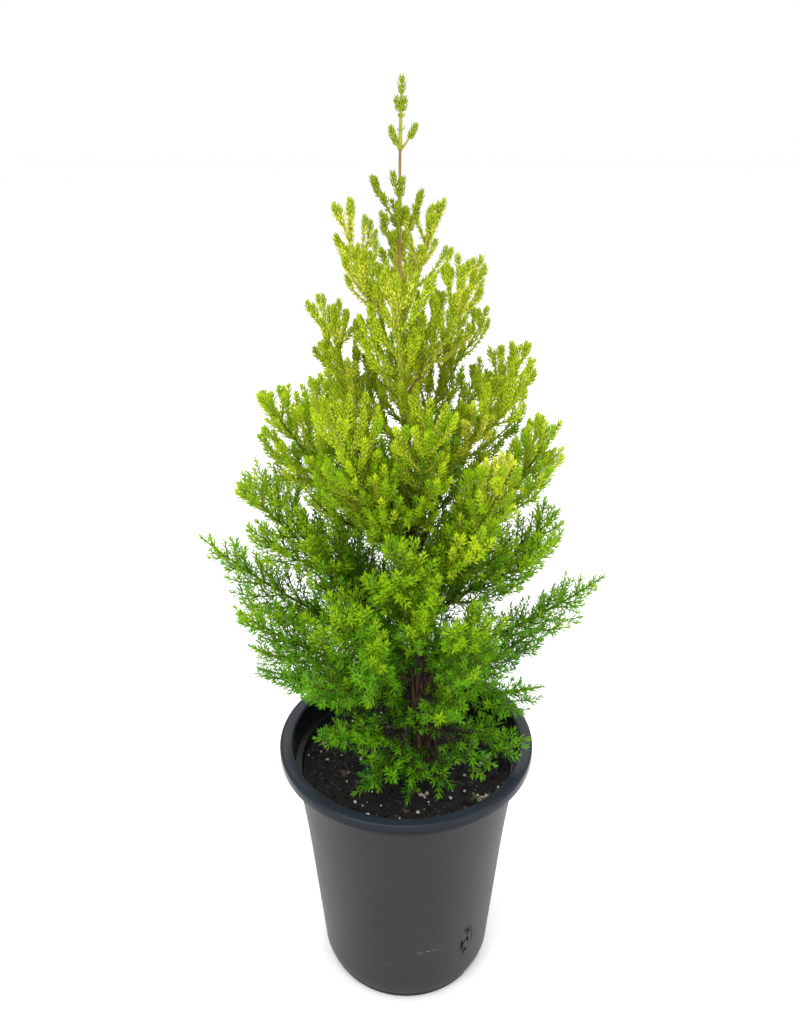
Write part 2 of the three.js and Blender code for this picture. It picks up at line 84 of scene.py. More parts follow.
print("the frame's box in metres:", cad_box)

# %% [markdown]
# ## Millimetres in, metres out
# A plant's rule is easiest to read in millimetres, while Blender's frame is in metres. One helper
# turns arrays of points and triangles into a mesh object and does that conversion in one place.
# Writing whole arrays with `foreach_set` is far faster than adding faces one by one, and that
# matters when a crown has over a hundred thousand needles.

# %% Mesh helpers
MILLIMETRE = 0.001


def mesh_piece(name, points, faces, finish, smooth=True):
    """A mesh object from points in millimetres and faces with the same number of corners each."""
    points = np.asarray(points, np.float32).reshape(-1, 3) * MILLIMETRE
    faces = np.asarray(faces, np.int32)
    mesh = bpy.data.meshes.new(name)
    mesh.vertices.add(len(points))
    mesh.vertices.foreach_set("co", points.ravel())
    mesh.loops.add(faces.size)
    mesh.loops.foreach_set("vertex_index", faces.ravel())
    mesh.polygons.add(len(faces))
    mesh.polygons.foreach_set("loop_start", np.arange(0, faces.size, faces.shape[1], dtype=np.int32))
    mesh.polygons.foreach_set("use_smooth", np.full(len(faces), smooth))
    mesh.update(calc_edges=True)
    mesh.materials.append(finish)
    piece = bpy.data.objects.new(name, mesh)
    bpy.context.scene.collection.objects.link(piece)
    return piece


def on_plant(piece, slot, *nodes):
    """The piece rides with the plant and stands for some plain solids. Its slot is not used."""
    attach(piece, "root")
    if nodes:
        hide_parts(*nodes)
    return piece


def joined(parts):
    """Joins (points, faces) pairs into one pair of arrays."""
    starts = np.cumsum([0] + [len(points) for points, _ in parts[:-1]])
    points = np.concatenate([points for points, _ in parts])
    faces = np.concatenate([faces + start for (_, faces), start in zip(parts, starts)])
    return points, faces


# %% [markdown]
# ## Camera
# The plant is seen from close by and from above, so that the rim of the pot opens into an ellipse
# and the soil shows. A short lens at half a metre gives that strong perspective.

# %% Camera
eye_distance = 454 * MILLIMETRE
eye_height = 549 * MILLIMETRE
look_down = math.radians(24.68)
film_width = 36
focal_length = 30.27
sideways_shift = -0.006

lens = bpy.data.cameras.new("camera")
lens.sensor_width = film_width
lens.lens = focal_length
lens.shift_x = sideways_shift
camera = bpy.data.objects.new("camera", lens)
camera.location = (0, -eye_distance, eye_height)
camera.rotation_euler = (math.pi / 2 - look_down, 0, 0)
bpy.context.scene.collection.objects.link(camera)
bpy.context.scene.camera = camera
print(f"the camera looks down by {math.degrees(look_down):.2f} degrees")

# %% [markdown]
# ## Floor and light
# Plain surroundings let the plant speak: a pale floor, a white surround, and large soft lamps. Big
# lamps matter for needles, because small ones would leave hard black gaps between the sprays. The
# surround also mirrors in the pot's flanks, which is what makes them turn pale.

# %% Stage
floor_half = 14.0
floor_gap = 0.0004
floor_finish = bpy.data.materials.new("pale_floor")
floor_finish.use_nodes = True
floor_shader = floor_finish.node_tree.nodes["Principled BSDF"]
floor_shader.inputs["Base Color"].default_value = (0.995, 0.995, 0.995, 1)
floor_shader.inputs["Roughness"].default_value = 0.75
floor_corners = [(-1, -1, 0), (1, -1, 0), (1, 1, 0), (-1, 1, 0)]
floor = mesh_piece(
    "floor", np.array(floor_corners) * floor_half / MILLIMETRE, [(0, 1, 2, 3)], floor_finish, smooth=False
)
floor.location.z = cad_box[0][2] - floor_gap


def lamp(name, place, size, watts, towards=(0, 0, 0.32)):
    """A square soft lamp that faces a point."""
    light = bpy.data.lights.new(name, "AREA")
    light.size = size
    light.energy = watts
    holder = bpy.data.objects.new(name, light)
    holder.location = place
    holder.rotation_euler = (Vector(towards) - Vector(place)).to_track_quat("-Z", "Y").to_euler()
    bpy.context.scene.collection.objects.link(holder)


lamp("overhead", (-0.15, -0.3, 1.9), 1.3, 17)
lamp("front_left", (-1.3, -1.3, 1.2), 1.0, 11)
lamp("front_right", (1.4, -1.0, 1.0), 1.0, 8)
lamp("behind", (0.3, 1.7, 1.3), 1.2, 9)

world = bpy.data.worlds.new("white_surround")
world.use_nodes = True
world.node_tree.nodes["Background"].inputs["Color"].default_value = (1, 1, 1, 1)
world.node_tree.nodes["Background"].inputs["Strength"].default_value = 1.0
bpy.context.scene.world = world
bpy.context.scene.view_settings.view_transform = "Standard"
print(len(bpy.data.lights), "soft lamps over a floor", 2 * floor_half, "metres wide")

# %% [markdown]
# ## Finishes from nodes
# A real surface is never one flat colour. Each rigid finish starts from a plain material and is
# built up from noise at the scale of the thing it shows. A small class keeps that short. All its
# patterns are measured along the object itself, so they stay put when it is seen from elsewhere.

# %% Finish helpers
BLACK = (0, 0, 0)


def grey(value):
    """A colour whose parts are all the same, also for masks."""
    return (value, value, value)


class Finish:
    """A material under construction, with its one surface shader."""

    def __init__(self, name, roughness):
        self.material = bpy.data.materials.new(name)
        self.material.use_nodes = True
        self.tree = self.material.node_tree
        self.shader = self.tree.nodes["Principled BSDF"]
        self.shader.inputs["Roughness"].default_value = roughness
        self.place = self.tree.nodes.new("ShaderNodeTexCoord").outputs["Object"]

    def node(self, kind, **settings):
        made = self.tree.nodes.new(kind)
        for key, value in settings.items():
            setattr(made, key, value)
        return made

    def link(self, source, target):
        self.tree.links.new(source, target)

    def stretched(self, scale):
        """The object's own coordinates, stretched along its axes."""
        mapping = self.node("ShaderNodeMapping")
        mapping.inputs["Scale"].default_value = scale
        self.link(self.place, mapping.inputs["Vector"])
        return mapping.outputs["Vector"]

    def noise(self, scale, detail=4, along=(1, 1, 1)):
        made = self.node("ShaderNodeTexNoise")
        made.inputs["Scale"].default_value = scale
        made.inputs["Detail"].default_value = detail
        self.link(self.stretched(along), made.inputs["Vector"])
        return made.outputs["Fac"]

    def ramp(self, source, *stops):
        """Spreads a value over (place, colour) stops."""
        made = self.node("ShaderNodeValToRGB")
        ends = made.color_ramp.elements
        while len(ends) < len(stops):
            ends.new(0.5)
        for element, (place, color) in zip(ends, stops):
            element.position = place
            element.color = (*color, 1)
        self.link(source, made.inputs["Fac"])
        return made.outputs["Color"]

    def mask(self, source, low, high, strength=1):
        """Black where a value is under low, and as strong as asked where it is over high."""
        return self.ramp(source, (low, BLACK), (high, grey(strength)))

    def mixed(self, factor, first, second):
        """The first colour where the factor is 0, and the second where it is 1."""
        made = self.node("ShaderNodeMix", data_type="RGBA")
        self.link(factor, made.inputs["Factor"])
        for source, socket in ((first, made.inputs["A"]), (second, made.inputs["B"])):
            if isinstance(source, tuple):
                socket.default_value = (*source, 1)
            else:
                self.link(source, socket)
        return made.outputs["Result"]

    def spread(self, source, low, high):
        """Maps a value from 0 to 1 on to a new range."""
        made = self.node("ShaderNodeMapRange")
        made.inputs["To Min"].default_value = low
        made.inputs["To Max"].default_value = high
        self.link(source, made.inputs["Value"])
        return made.outputs["Result"]

    def near(self, place, reach, squash=(1, 1, 1)):
        """1 at a place in metres, fading to 0 at a distance that squash shortens along the axes."""
        offset = self.node("ShaderNodeVectorMath", operation="SUBTRACT")
        self.link(self.place, offset.inputs[0])
        offset.inputs[1].default_value = place
        scaled = self.node("ShaderNodeVectorMath", operation="MULTIPLY")
        self.link(offset.outputs["Vector"], scaled.inputs[0])
        scaled.inputs[1].default_value = squash
        length = self.node("ShaderNodeVectorMath", operation="LENGTH")
        self.link(scaled.outputs["Vector"], length.inputs[0])
        fade = self.node("ShaderNodeMapRange")
        fade.inputs["From Max"].default_value = reach
        fade.inputs["To Min"].default_value = 1
        fade.inputs["To Max"].default_value = 0
        self.link(length.outputs["Value"], fade.inputs["Value"])
        return fade.outputs["Result"]

    def both(self, first, second):
        """One mask inside another."""
        made = self.node("ShaderNodeMath", operation="MULTIPLY")
        self.link(first, made.inputs[0])
        self.link(second, made.inputs[1])
        return made.outputs["Value"]

    def bump(self, source, strength, distance):
        made = self.node("ShaderNodeBump")
        made.inputs["Strength"].default_value = strength
        made.inputs["Distance"].default_value = distance
        self.link(source, made.inputs["Height"])
        self.link(made.outputs["Normal"], self.shader.inputs["Normal"])

    def height(self):
        """How high a point lies in the object, in metres."""
        parted = self.node("ShaderNodeSeparateXYZ")
        self.link(self.place, parted.inputs["Vector"])
        return parted.outputs["Z"]

    def color(self, source):
        self.link(source, self.shader.inputs["Base Color"])


def mottled(name, roughness, scale, detail, *stops):
    """A finish whose one noise runs over a few colours."""
    finish = Finish(name, roughness)
    finish.color(finish.ramp(finish.noise(scale, detail), *stops))
    return finish.material


# %% [markdown]
# ## The pot's sizes
# The lip's radius and the height come from the frame, so the pot can't drift from its solid. The
# other sizes are those of a common nursery pot: a deep collar, thin walls and a narrower foot.

# %% Pot sizes
pot_height = (pot_high.z - pot_low.z) / MILLIMETRE
lip_radius = pot_high.x / MILLIMETRE
lip_height = 7.5
lip_width = 5
collar_radius = 75.5
collar_depth = 18
wall_top_radius = 72.4
wall_foot_radius = 58
foot_step = 2.2
foot_height = 6
wall = 1.8
pot_floor = 2.2
turned_sides = 144
print(f"the pot is {pot_height:.1f} mm tall and {2 * lip_radius:.1f} mm wide")

# %% [markdown]
# ## The pot's plastic
# Nursery pots are thin blue-black polypropylene. It has a dull gloss, fine moulding lines that run
# round the wall, a darker and bluer lip with a painted highlight on its crest, dust, grime and
# painted shade at the foot, and a scuff and a scratch low down. All of that is colour and roughness,
# with only a breath of bump, as the wall is smooth.

# %% Pot finish
grime_and_shade_low, grime_and_shade_high = 0.0035, 0.0075  # the foot's grime and painted shade fade out between these heights
lip_low = (pot_height - lip_height) * MILLIMETRE
crest_highlight_low = pot_high.z - 0.0016
scuff_place, scuff_size = (0.039, -0.0445, 0.045), 0.019
scratch_place, scratch_size = (0.015, -0.058, 0.05), 0.012

pot_finish = Finish("nursery_plastic", 0.4)
height = pot_finish.height()
cloudy = pot_finish.noise(14, 5)
body_color = pot_finish.ramp(
    cloudy, (0.3, (0.0075, 0.0095, 0.0095)), (0.7, (0.0125, 0.0155, 0.0155))
)
fine_lines = pot_finish.mask(pot_finish.noise(60, 3, along=(1, 1, 16)), 0.66, 0.8, 0.22)
lined = pot_finish.mixed(fine_lines, body_color, (0.15, 0.15, 0.145))
dust = pot_finish.mask(pot_finish.noise(190, 4), 0.7, 0.8, 0.5)
dusty = pot_finish.mixed(dust, lined, (0.13, 0.12, 0.11))
# painted shade: the set-in foot is darkened, partly brown grime and partly the shade under the wall's step
foot_grime_and_shade = pot_finish.ramp(height, (grime_and_shade_low, grey(0.75)), (grime_and_shade_high, BLACK))
with_foot_grime_and_shade = pot_finish.mixed(foot_grime_and_shade, dusty, (0.007, 0.005, 0.003))
lip_mask = pot_finish.mask(height, lip_low, lip_low + 0.002)
lipped = pot_finish.mixed(lip_mask, with_foot_grime_and_shade, (0.005, 0.0065, 0.0095))
# painted highlight: a thin paler line along the lip's rolled crest, where a lamp would glint
crest_highlight = pot_finish.mask(height, crest_highlight_low, crest_highlight_low + 0.001)
with_crest_highlight = pot_finish.mixed(crest_highlight, lipped, (0.018, 0.023, 0.032))
streaks = pot_finish.mask(pot_finish.noise(330, 3, along=(1, 1, 0.4)), 0.47, 0.53)
scuff = pot_finish.both(pot_finish.near(scuff_place, scuff_size, (2.6, 2.6, 1)), streaks)
scuff = pot_finish.spread(scuff, 0, 2.6)
scuffed = pot_finish.mixed(scuff, with_crest_highlight, grey(0.002))
chalk = pot_finish.mask(pot_finish.noise(700, 3), 0.47, 0.6)
scratch = pot_finish.both(pot_finish.near(scratch_place, scratch_size, (1, 0.4, 15)), chalk)
pot_finish.color(pot_finish.mixed(scratch, scuffed, (0.26, 0.24, 0.2)))
roughness = pot_finish.mixed(lip_mask, pot_finish.spread(cloudy, 0.34, 0.5), grey(0.2))
pot_finish.link(roughness, pot_finish.shader.inputs["Roughness"])
sheen = pot_finish.mixed(lip_mask, pot_finish.spread(scuff, 0.22, 0), grey(0.13))
pot_finish.link(sheen, pot_finish.shader.inputs["Specular IOR Level"])
pot_finish.bump(pot_finish.noise(30, 2, along=(0.2, 0.2, 14)), 0.12, 0.0002)
print("the pot's plastic has", len(pot_finish.tree.nodes), "nodes")

# %% [markdown]
# ## The pot
# A pot is a turned shape, so its wall is one profile swept round the axis, outside and inside. The
# profile is what makes it read as moulded plastic: a rolled lip, a wall that flares up to it in one
# long soft curve, the ledge inside that lets pots stack, and a foot set in by a thin line. Rounded
# corners are short arcs, so that they catch a highlight. The drain cuts are made afterwards.

# %% Pot


def wall_radius(z):
    return wall_foot_radius + (wall_top_radius - wall_foot_radius) * z / pot_height


def flared(z):
    """The wall widens to the collar in one long soft curve below the lip."""
    share = max(0, z / pot_height - 0.5) * 2
    return wall_radius(z) + (collar_radius - wall_top_radius) * share * share


def corner(radius, z, size, start, end, steps=5):
    """Points of a rounded corner round its own centre, from one angle to another in degrees."""
    angles = np.radians(np.linspace(start, end, steps))
    return [(radius + size * math.cos(a), z + size * math.sin(a)) for a in angles]


def pot_profile():
    """The pot's half section as (radius, z): up the outside, over the lip, and down the inside."""
    soft = 0.8
    roll = 1.9
    foot_radius = wall_foot_radius - foot_step
    lip_under = pot_height - lip_height
    ledge_z = pot_height - collar_depth
    ledge_radius = wall_radius(ledge_z) - wall
    collar_inside = collar_radius - wall
    return [
        (0, 0),
        (foot_radius - soft, 0),
        *corner(foot_radius - soft, soft, soft, -60, 0, 3),
        (foot_radius + 0.3, foot_height - soft),
        *corner(wall_foot_radius - 1.2, foot_height + 0.6, 1.2, -70, -5, 4),
        *[(flared(z), z) for z in np.linspace(foot_height + 3, lip_under - 1.5, 24)],
        (collar_radius, lip_under - 0.4),
        (collar_radius + 0.4, lip_under),
        (lip_radius - 1.4, lip_under),
        *corner(lip_radius - 0.9, lip_under + 0.9, 0.9, -60, 0, 4),
        *corner(lip_radius - roll, pot_height - roll, roll, 0, 100, 7),
        (lip_radius - lip_width, pot_height - 0.5),
        *corner(collar_inside + 2.2, pot_height - 2.7, 2.0, 100, 180, 5),
        (collar_inside, ledge_z + 2 * soft),
        *corner(collar_inside - soft, ledge_z + soft, soft, 0, -80, 4),
        (ledge_radius + 0.6, ledge_z),
        *corner(ledge_radius + 0.6, ledge_z - 0.6, 0.6, 100, 180, 3),
        *[(wall_radius(z) - wall, z) for z in np.linspace(ledge_z - 4, 40, 6)],
        (foot_radius - wall, pot_floor),
        (0, pot_floor),
    ]


def turned(profile, sides):
    """A profile of (radius, z) that starts and ends on the axis, swept round it."""
    angles = np.arange(sides) * 2 * math.pi / sides
    rings = [
        [(radius * math.cos(a), radius * math.sin(a), z) for a in angles]
        for radius, z in profile[1:-1]
    ]
    points = [point for ring in rings for point in ring]
    points += [(0, 0, profile[0][1]), (0, 0, profile[-1][1])]
    foot, top = len(points) - 2, len(points) - 1
    faces = []
    for low in range(len(rings) - 1):
        for i in range(sides):
            a, b = low * sides + i, low * sides + (i + 1) % sides
            faces += [(a, b, b + sides), (a, b + sides, a + sides)]
    last = (len(rings) - 1) * sides
    for i in range(sides):
        following = (i + 1) % sides
        faces += [(foot, following, i), (top, last + i, last + following)]
    return np.array(points), np.array(faces)


pot_points, pot_faces = turned(pot_profile(), turned_sides)
pot = mesh_piece("nursery_pot", pot_points, pot_faces, pot_finish.material)

# %% [markdown]
# ## Drain slots and holes
# Water leaves through five round holes in the floor and through two slots in the foot. Each
# is a cutter that a Boolean takes out of the pot. The Boolean is applied, and the cutters go.

# %% Drain cuts
notch_width = 26
notch_height = 7
notch_corner = 1.5
notch_azimuth = 60
notch_depth = 12  # half of it inside the foot's radius
hole_radius = 6
hole_ring = 34
hole_count = 5
hole_sides = 28
sharp_from = 38  # degrees between two faces


def prism(outline, low, high):
    """An outline in the XY plane, raised between two heights, as triangles."""
    count = len(outline)
    points = [(x, y, low) for x, y in outline] + [(x, y, high) for x, y in outline]
    faces = [(0, i + 1, i) for i in range(1, count - 1)]
    faces += [(count, count + i, count + i + 1) for i in range(1, count - 1)]
    for i in range(count):
        following = (i + 1) % count
        faces += [(i, following, count + following), (i, count + following, count + i)]
    return np.array(points, float), np.array(faces)


def spun(points, angle):
    """Points turned about the upright axis, by an angle in radians."""
    across = points[:, 0] * math.cos(angle) - points[:, 1] * math.sin(angle)
    along = points[:, 0] * math.sin(angle) + points[:, 1] * math.cos(angle)
    return np.column_stack([across, along, points[:, 2]])


def notch_cutter(azimuth):
    """A slot with rounded upper corners, laid across the foot and turned to its place."""
    half, shoulder = notch_width / 2, notch_height - notch_corner
    right = corner(half - notch_corner, shoulder, notch_corner, 0, 90)
    left = corner(notch_corner - half, shoulder, notch_corner, 90, 180)
    points, faces = prism([(-half, -1), (half, -1), *right, *left], 0, notch_depth)
    points = points[:, [0, 2, 1]] * (1, -1, 1)
    points[:, 1] -= wall_foot_radius - foot_step - notch_depth / 2
    return spun(points, math.radians(azimuth)), faces


def hole_cutter(index):
    """One round drain hole of the ring in the floor."""
    around = 2 * math.pi * index / hole_count
    middle = np.array([math.cos(around), math.sin(around)]) * hole_ring
    angles = np.linspace(0, 2 * math.pi, hole_sides, endpoint=False)
    rim = middle + hole_radius * np.column_stack([np.cos(angles), np.sin(angles)])
    return prism(rim, -2, pot_floor + 3)


cutter_parts = [notch_cutter(notch_azimuth + turn) for turn in (0, 180)]
cutter_parts += [hole_cutter(i) for i in range(hole_count)]
cutter = mesh_piece("drain_cutter", *joined(cutter_parts), pot_finish.material, smooth=False)
cut = pot.modifiers.new("drains", "BOOLEAN")
cut.operation = "DIFFERENCE"
cut.solver = "EXACT"
cut.object = cutter
bpy.context.view_layer.objects.active = pot
bpy.ops.object.modifier_apply(modifier=cut.name)
bpy.data.objects.remove(cutter)
pot.data.set_sharp_from_angle(angle=math.radians(sharp_from))
on_plant(pot, "pot", "pot")
print("the pot has", len(pot.data.polygons), "faces")

# %% [markdown]
# ## Potting soil
# Potting mix is dark peat: soft lumps a few millimetres across, crumbs on top of them, and a
# slightly raised edge where it was pressed against the wall. Its top is a fine disc moved up and
# down by noise at three scales. Crumbs, perlite and chips are loose bodies scattered on it, as a
# flat texture would look painted from so near.

# %% Soil finish
wet_peat = (0.0025, 0.0026, 0.003)
dark_peat = (0.007, 0.0065, 0.0065)
dry_peat = (0.035, 0.027, 0.021)

soil_finish = Finish("damp_peat", 0.92)
grain = soil_finish.noise(420, 6)
soil_finish.color(soil_finish.ramp(grain, (0.3, wet_peat), (0.58, dark_peat), (0.85, dry_peat)))
soil_finish.bump(soil_finish.noise(700, 5), 0.6, 0.0006)

# %% Soil surface
soil_top = soil_high.z / MILLIMETRE
soil_radius = 68.5
soil_rings = 96
soil_sides = 260
seam = 0.3  # the gap that the plain solids keep between them
soil_foot = pot_floor + seam
soil_foot_radius = wall_radius(pot_floor) - wall - foot_step - 2 * seam


def soil_height(x, y):
    """How high the soil lies at a place, in millimetres above the pot's underside.

    It is sunk a little over most of the pot, and pressed up along the wall.
    """
    settled = 1.2
    lumps = noise.noise(Vector((x, y, 3.1)) * 0.09) * 1.5
    clods = noise.noise(Vector((x, y, 7.7)) * 0.28) * 1.1
    crumbs = abs(noise.noise(Vector((x, y, 1.3)) * 0.8)) * 0.9
    out = math.hypot(x, y) / soil_radius
    pressed = -2.0 * min(1, out * 1.5) + 1.4 * max(0, out - 0.9) * 10
    return soil_top - settled + pressed + lumps + clods + crumbs


soil_points = []
for ring in range(1, soil_rings + 1):
    for side in range(soil_sides):
        around = 2 * math.pi * side / soil_sides
        out = soil_radius * ring / soil_rings
        x, y = out * math.cos(around), out * math.sin(around)
        soil_points.append((x, y, soil_height(x, y)))
for side in range(soil_sides):
    around = 2 * math.pi * side / soil_sides
    x, y = soil_foot_radius * math.cos(around), soil_foot_radius * math.sin(around)
    soil_points.append((x, y, soil_foot))
soil_points += [(0, 0, soil_height(0, 0)), (0, 0, soil_foot)]
soil_faces = []
for low in range(soil_rings):
    for side in range(soil_sides):
        a, b = low * soil_sides + side, low * soil_sides + (side + 1) % soil_sides
        soil_faces += [(a, a + soil_sides, b), (b, a + soil_sides, b + soil_sides)]
middle, under = len(soil_points) - 2, len(soil_points) - 1
last = soil_rings * soil_sides
for side in range(soil_sides):
    following = (side + 1) % soil_sides
    soil_faces += [(middle, side, following), (under, last + following, last + side)]
soil = mesh_piece("potting_soil", soil_points, soil_faces, soil_finish.material)
on_plant(soil, "soil", "soil")
print("the soil's top has", soil_rings * soil_sides, "points")

# %% [markdown]
# ## Crumbs, perlite and litter
# Near-black crumbs of peat, white puffs of perlite and brown chips of wood lie loose on the soil.
# Each bit is a small ball of twenty faces whose corners are pushed in and out, so no two look
# alike. One function scatters them, and one row for each kind says how many and how large.

# %% Litter
GOLDEN = (1 + math.sqrt(5)) / 2


def icosahedron():
    """The twelve corners of a ball of radius 1 and its twenty faces."""
    corners = []
    for a in (-1, 1):
        for b in (-GOLDEN, GOLDEN):
            corners += [(0, a, b), (a, b, 0), (b, 0, a)]
    points = np.array(corners, float) / math.hypot(1, GOLDEN)
    gap = np.linalg.norm(points[:, None] - points[None], axis=2)
    edge = gap[gap > 0.01].min() * 1.05
    faces = []
    for i in range(12):
        for j in range(i + 1, 12):
            for k in range(j + 1, 12):
                if gap[i, j] < edge and gap[j, k] < edge and gap[i, k] < edge:
                    outward = np.dot(np.cross(points[j] - points[i], points[k] - points[i]), points[i])
                    faces.append((i, j, k) if outward > 0 else (i, k, j))
    return points, np.array(faces)


ball_corners, ball_faces = icosahedron()


def lump(random, size, flatness):
    """An irregular little body about the origin: the ball with its corners pushed in and out."""
    stretch = size * random.uniform(0.7, 1.3, 3) * (1, 1, flatness)
    points = ball_corners * random.uniform(0.72, 1.12, (12, 1)) * stretch / 2
    return spun(points, random.uniform(0, 2 * math.pi)), ball_faces


def scattered(random, count, smallest, largest, sunk, flatness):
    """Lumps strewn over the soil, small ones more often than large ones."""
    bits = []
    while len(bits) < count:
        x, y = random.uniform(-soil_radius, soil_radius, 2)
        size = smallest + (largest - smallest) * random.uniform() ** 2.5
        if math.hypot(x, y) > soil_radius - size:
            continue
        points, faces = lump(random, size, flatness)
        bits.append((points + (x, y, soil_height(x, y) + size * (0.5 - sunk) * flatness), faces))
    return joined(bits)


litter_random = np.random.default_rng(7)
crumb_finish = mottled(
    "peat_crumbs", 0.95, 260, 4, (0.4, (0.0035, 0.0033, 0.0035)), (0.8, (0.024, 0.018, 0.014))
)
perlite_finish = mottled(
    "perlite", 0.85, 500, 3, (0.3, (0.4, 0.36, 0.31)), (0.65, (0.75, 0.73, 0.69))
)
chip_finish = mottled(
    "wood_chips", 0.9, 300, 4, (0.3, (0.035, 0.02, 0.013)), (0.7, (0.16, 0.1, 0.06))
)
litter_rows = [  # name, finish, smooth, how many, smallest, largest, how far sunk, flatness
    ("peat_crumbs", crumb_finish, False, 1500, 0.7, 3.6, 0.25, 0.7),
    ("perlite", perlite_finish, True, 130, 0.7, 3.2, 0.1, 0.85),
    ("wood_chips", chip_finish, False, 70, 1.2, 5.5, 0.2, 0.28),
]
for name, finish, smooth_faces, *sizes in litter_rows:
    bits = mesh_piece(name, *scattered(litter_random, *sizes), finish, smooth_faces)
    on_plant(bits, "soil")
    print(name, len(bits.data.polygons), "faces")

# %% [markdown]
# ## Stones and fibres
# Pale pinkish stones lie in small groups, with a patch of moss and grit round those at the right.
# The stones are lumps too, made round by a subdivision that is then applied. Dry root fibres curl
# over the soil. A fibre is a thin three-sided tube along a wandering line.

# %% Stones and moss
stone_places = [  # across, deep, size
    (9.5, -31.5, 4.4), (13.2, -30.0, 4.8), (11.8, -33.6, 2.6), (46.6, -12.0, 3.0),
    (49.0, -33.0, 4.6), (45.6, -31.0, 3.4), (52.0, -30.5, 3.6), (47.5, -35.5, 2.8),
    (-57.0, 20.0, 4.2), (-53.0, 22.0, 3.0), (-53.0, 3.0, 3.4), (-58.0, 11.0, 2.2),
    (-25.0, -11.7, 3.0), (-22.0, -20.0, 3.2), (-38.0, -9.0, 2.0),
]


def stones():
    bits = []
    for x, y, size in stone_places:
        points, faces = lump(litter_random, size, 0.75)
        bits.append((points + (x, y, soil_height(x, y) + size * 0.22), faces))
    return joined(bits)


stone_finish = mottled(
    "pale_stones", 0.8, 160, 4,
    (0.3, (0.27, 0.2, 0.15)), (0.55, (0.5, 0.4, 0.32)), (0.8, (0.62, 0.56, 0.45))
)
pebbles = mesh_piece("pale_stones", *stones(), stone_finish)
pebbles.modifiers.new("rounded", "SUBSURF").levels = 2
bpy.context.view_layer.objects.active = pebbles
bpy.ops.object.modifier_apply(modifier="rounded")
on_plant(pebbles, "soil")

moss_middle, moss_spread = (48.5, -32.5), (4.2, 2.6)
moss_count = 34


def moss_patch():
    bits = []
    for _ in range(moss_count):
        x, y = litter_random.normal(moss_middle, moss_spread)
        size = litter_random.uniform(1.0, 2.7)
        points, faces = lump(litter_random, size, 0.8)
        bits.append((points + (x, y, soil_height(x, y) + size * 0.3), faces))
    return joined(bits)


moss_finish = mottled(
    "mossy_grit", 0.9, 420, 3, (0.35, (0.05, 0.06, 0.02)), (0.65, (0.25, 0.25, 0.12))
)
moss = mesh_piece("mossy_grit", *moss_patch(), moss_finish, smooth=False)
on_plant(moss, "soil")
print(len(stone_places), "stones and", moss_count, "bits of moss and grit")

# %% Fibres
fibre_count = 46
fibre_steps = 12


def tube(path, radii, sides=3):
    """A closed tube along a list of points, in millimetres, with a radius at each point."""
    path = np.asarray(path, float)
    along = np.gradient(path, axis=0)
    along /= np.linalg.norm(along, axis=1)[:, None]
    reference = np.array([0, 0, 1.0]) if abs(along[0, 2]) < 0.8 else np.array([1.0, 0, 0])
    first = np.cross(along, reference)
    first /= np.linalg.norm(first, axis=1)[:, None]
    second = np.cross(along, first)
    angles = np.arange(sides) * 2 * math.pi / sides
    ring = np.cos(angles)[None, :, None] * first[:, None] + np.sin(angles)[None, :, None] * second[:, None]
    points = (path[:, None] + ring * np.asarray(radii, float)[:, None, None]).reshape(-1, 3)
    faces = []
    for low in range(len(path) - 1):
        for side in range(sides):
            a, b = low * sides + side, low * sides + (side + 1) % sides
            faces += [(a, b, b + sides), (a, b + sides, a + sides)]
    top = (len(path) - 1) * sides
    faces += [(0, i + 1, i) for i in range(1, sides - 1)]
    faces += [(top, top + i, top + i + 1) for i in range(1, sides - 1)]
    return points, np.array(faces)


def fibre(x, y, heading, length, thickness, lift):
    """A dry fibre that wanders over the soil from one place."""
    path = []
    for step in range(fibre_steps):
        share = step / (fibre_steps - 1)
        height = soil_height(x, y) + thickness + lift * math.sin(math.pi * share)
        path.append((x, y, height))
        heading += litter_random.uniform(-0.35, 0.35)
        x += math.cos(heading) * length / fibre_steps
        y += math.sin(heading) * length / fibre_steps
    return tube(path, np.linspace(thickness, thickness * 0.4, fibre_steps))


fibres = []
while len(fibres) < fibre_count:
    x, y = litter_random.uniform(-56, 56, 2)
    length = litter_random.uniform(6, 17)
    if math.hypot(x, y) < soil_radius - length - 1:
        heading = litter_random.uniform(0, 6.28)
        thickness = litter_random.uniform(0.12, 0.26)
        lift = litter_random.uniform(0.4, 2.6)
        fibres.append(fibre(x, y, heading, length, thickness, lift))
straw_finish = mottled(
    "dry_fibres", 0.8, 90, 2, (0.3, (0.06, 0.038, 0.022)), (0.7, (0.3, 0.22, 0.12))
)
straws = mesh_piece("dry_fibres", *joined(fibres), straw_finish)
on_plant(straws, "soil")
print(len(fibres), "dry fibres")

# %% [markdown]
# ## The trunk's line
# The trunk is one slender stem that leans and sways a little as it climbs. Its centre line and its
# radius are both simple functions of the share of the plant's height, and everything that grows
# on it starts from them. They are the same functions that the plain solids were made by.

# %% Trunk line
plant_height = 407
trunk_foot = soil_top + seam
plant_top = soil_top + plant_height
trunk_share = 0.965
trunk_tip_radius = 0.6
trunk_foot_radius = 7.6
flare_width = 3.6
flare_height = 9
trunk_taper = 1.7
foot_offset = 12
offset_power = 1.4
sway = 3.2
top_lean = -2
depth_sway = 1.5


def trunk_centre(share):
    """Points on the trunk's centre line, for one share of its height or for many."""
    share = np.asarray(share, float)
    x = foot_offset * (1 - share) ** offset_power - sway * np.sin(math.pi * share**2) + top_lean * share
    y = depth_sway * np.sin(2 * math.pi * share)
    return np.stack([x, y, trunk_foot + share * (plant_height - seam)], axis=-1)


def trunk_radius(share):
    """The trunk's radius: a taper up to the tip, and a flare at the roots."""
    taper = (trunk_foot_radius - trunk_tip_radius) * (1 - share) ** trunk_taper
    return trunk_tip_radius + taper + flare_width * np.exp(-share * plant_height / flare_height)


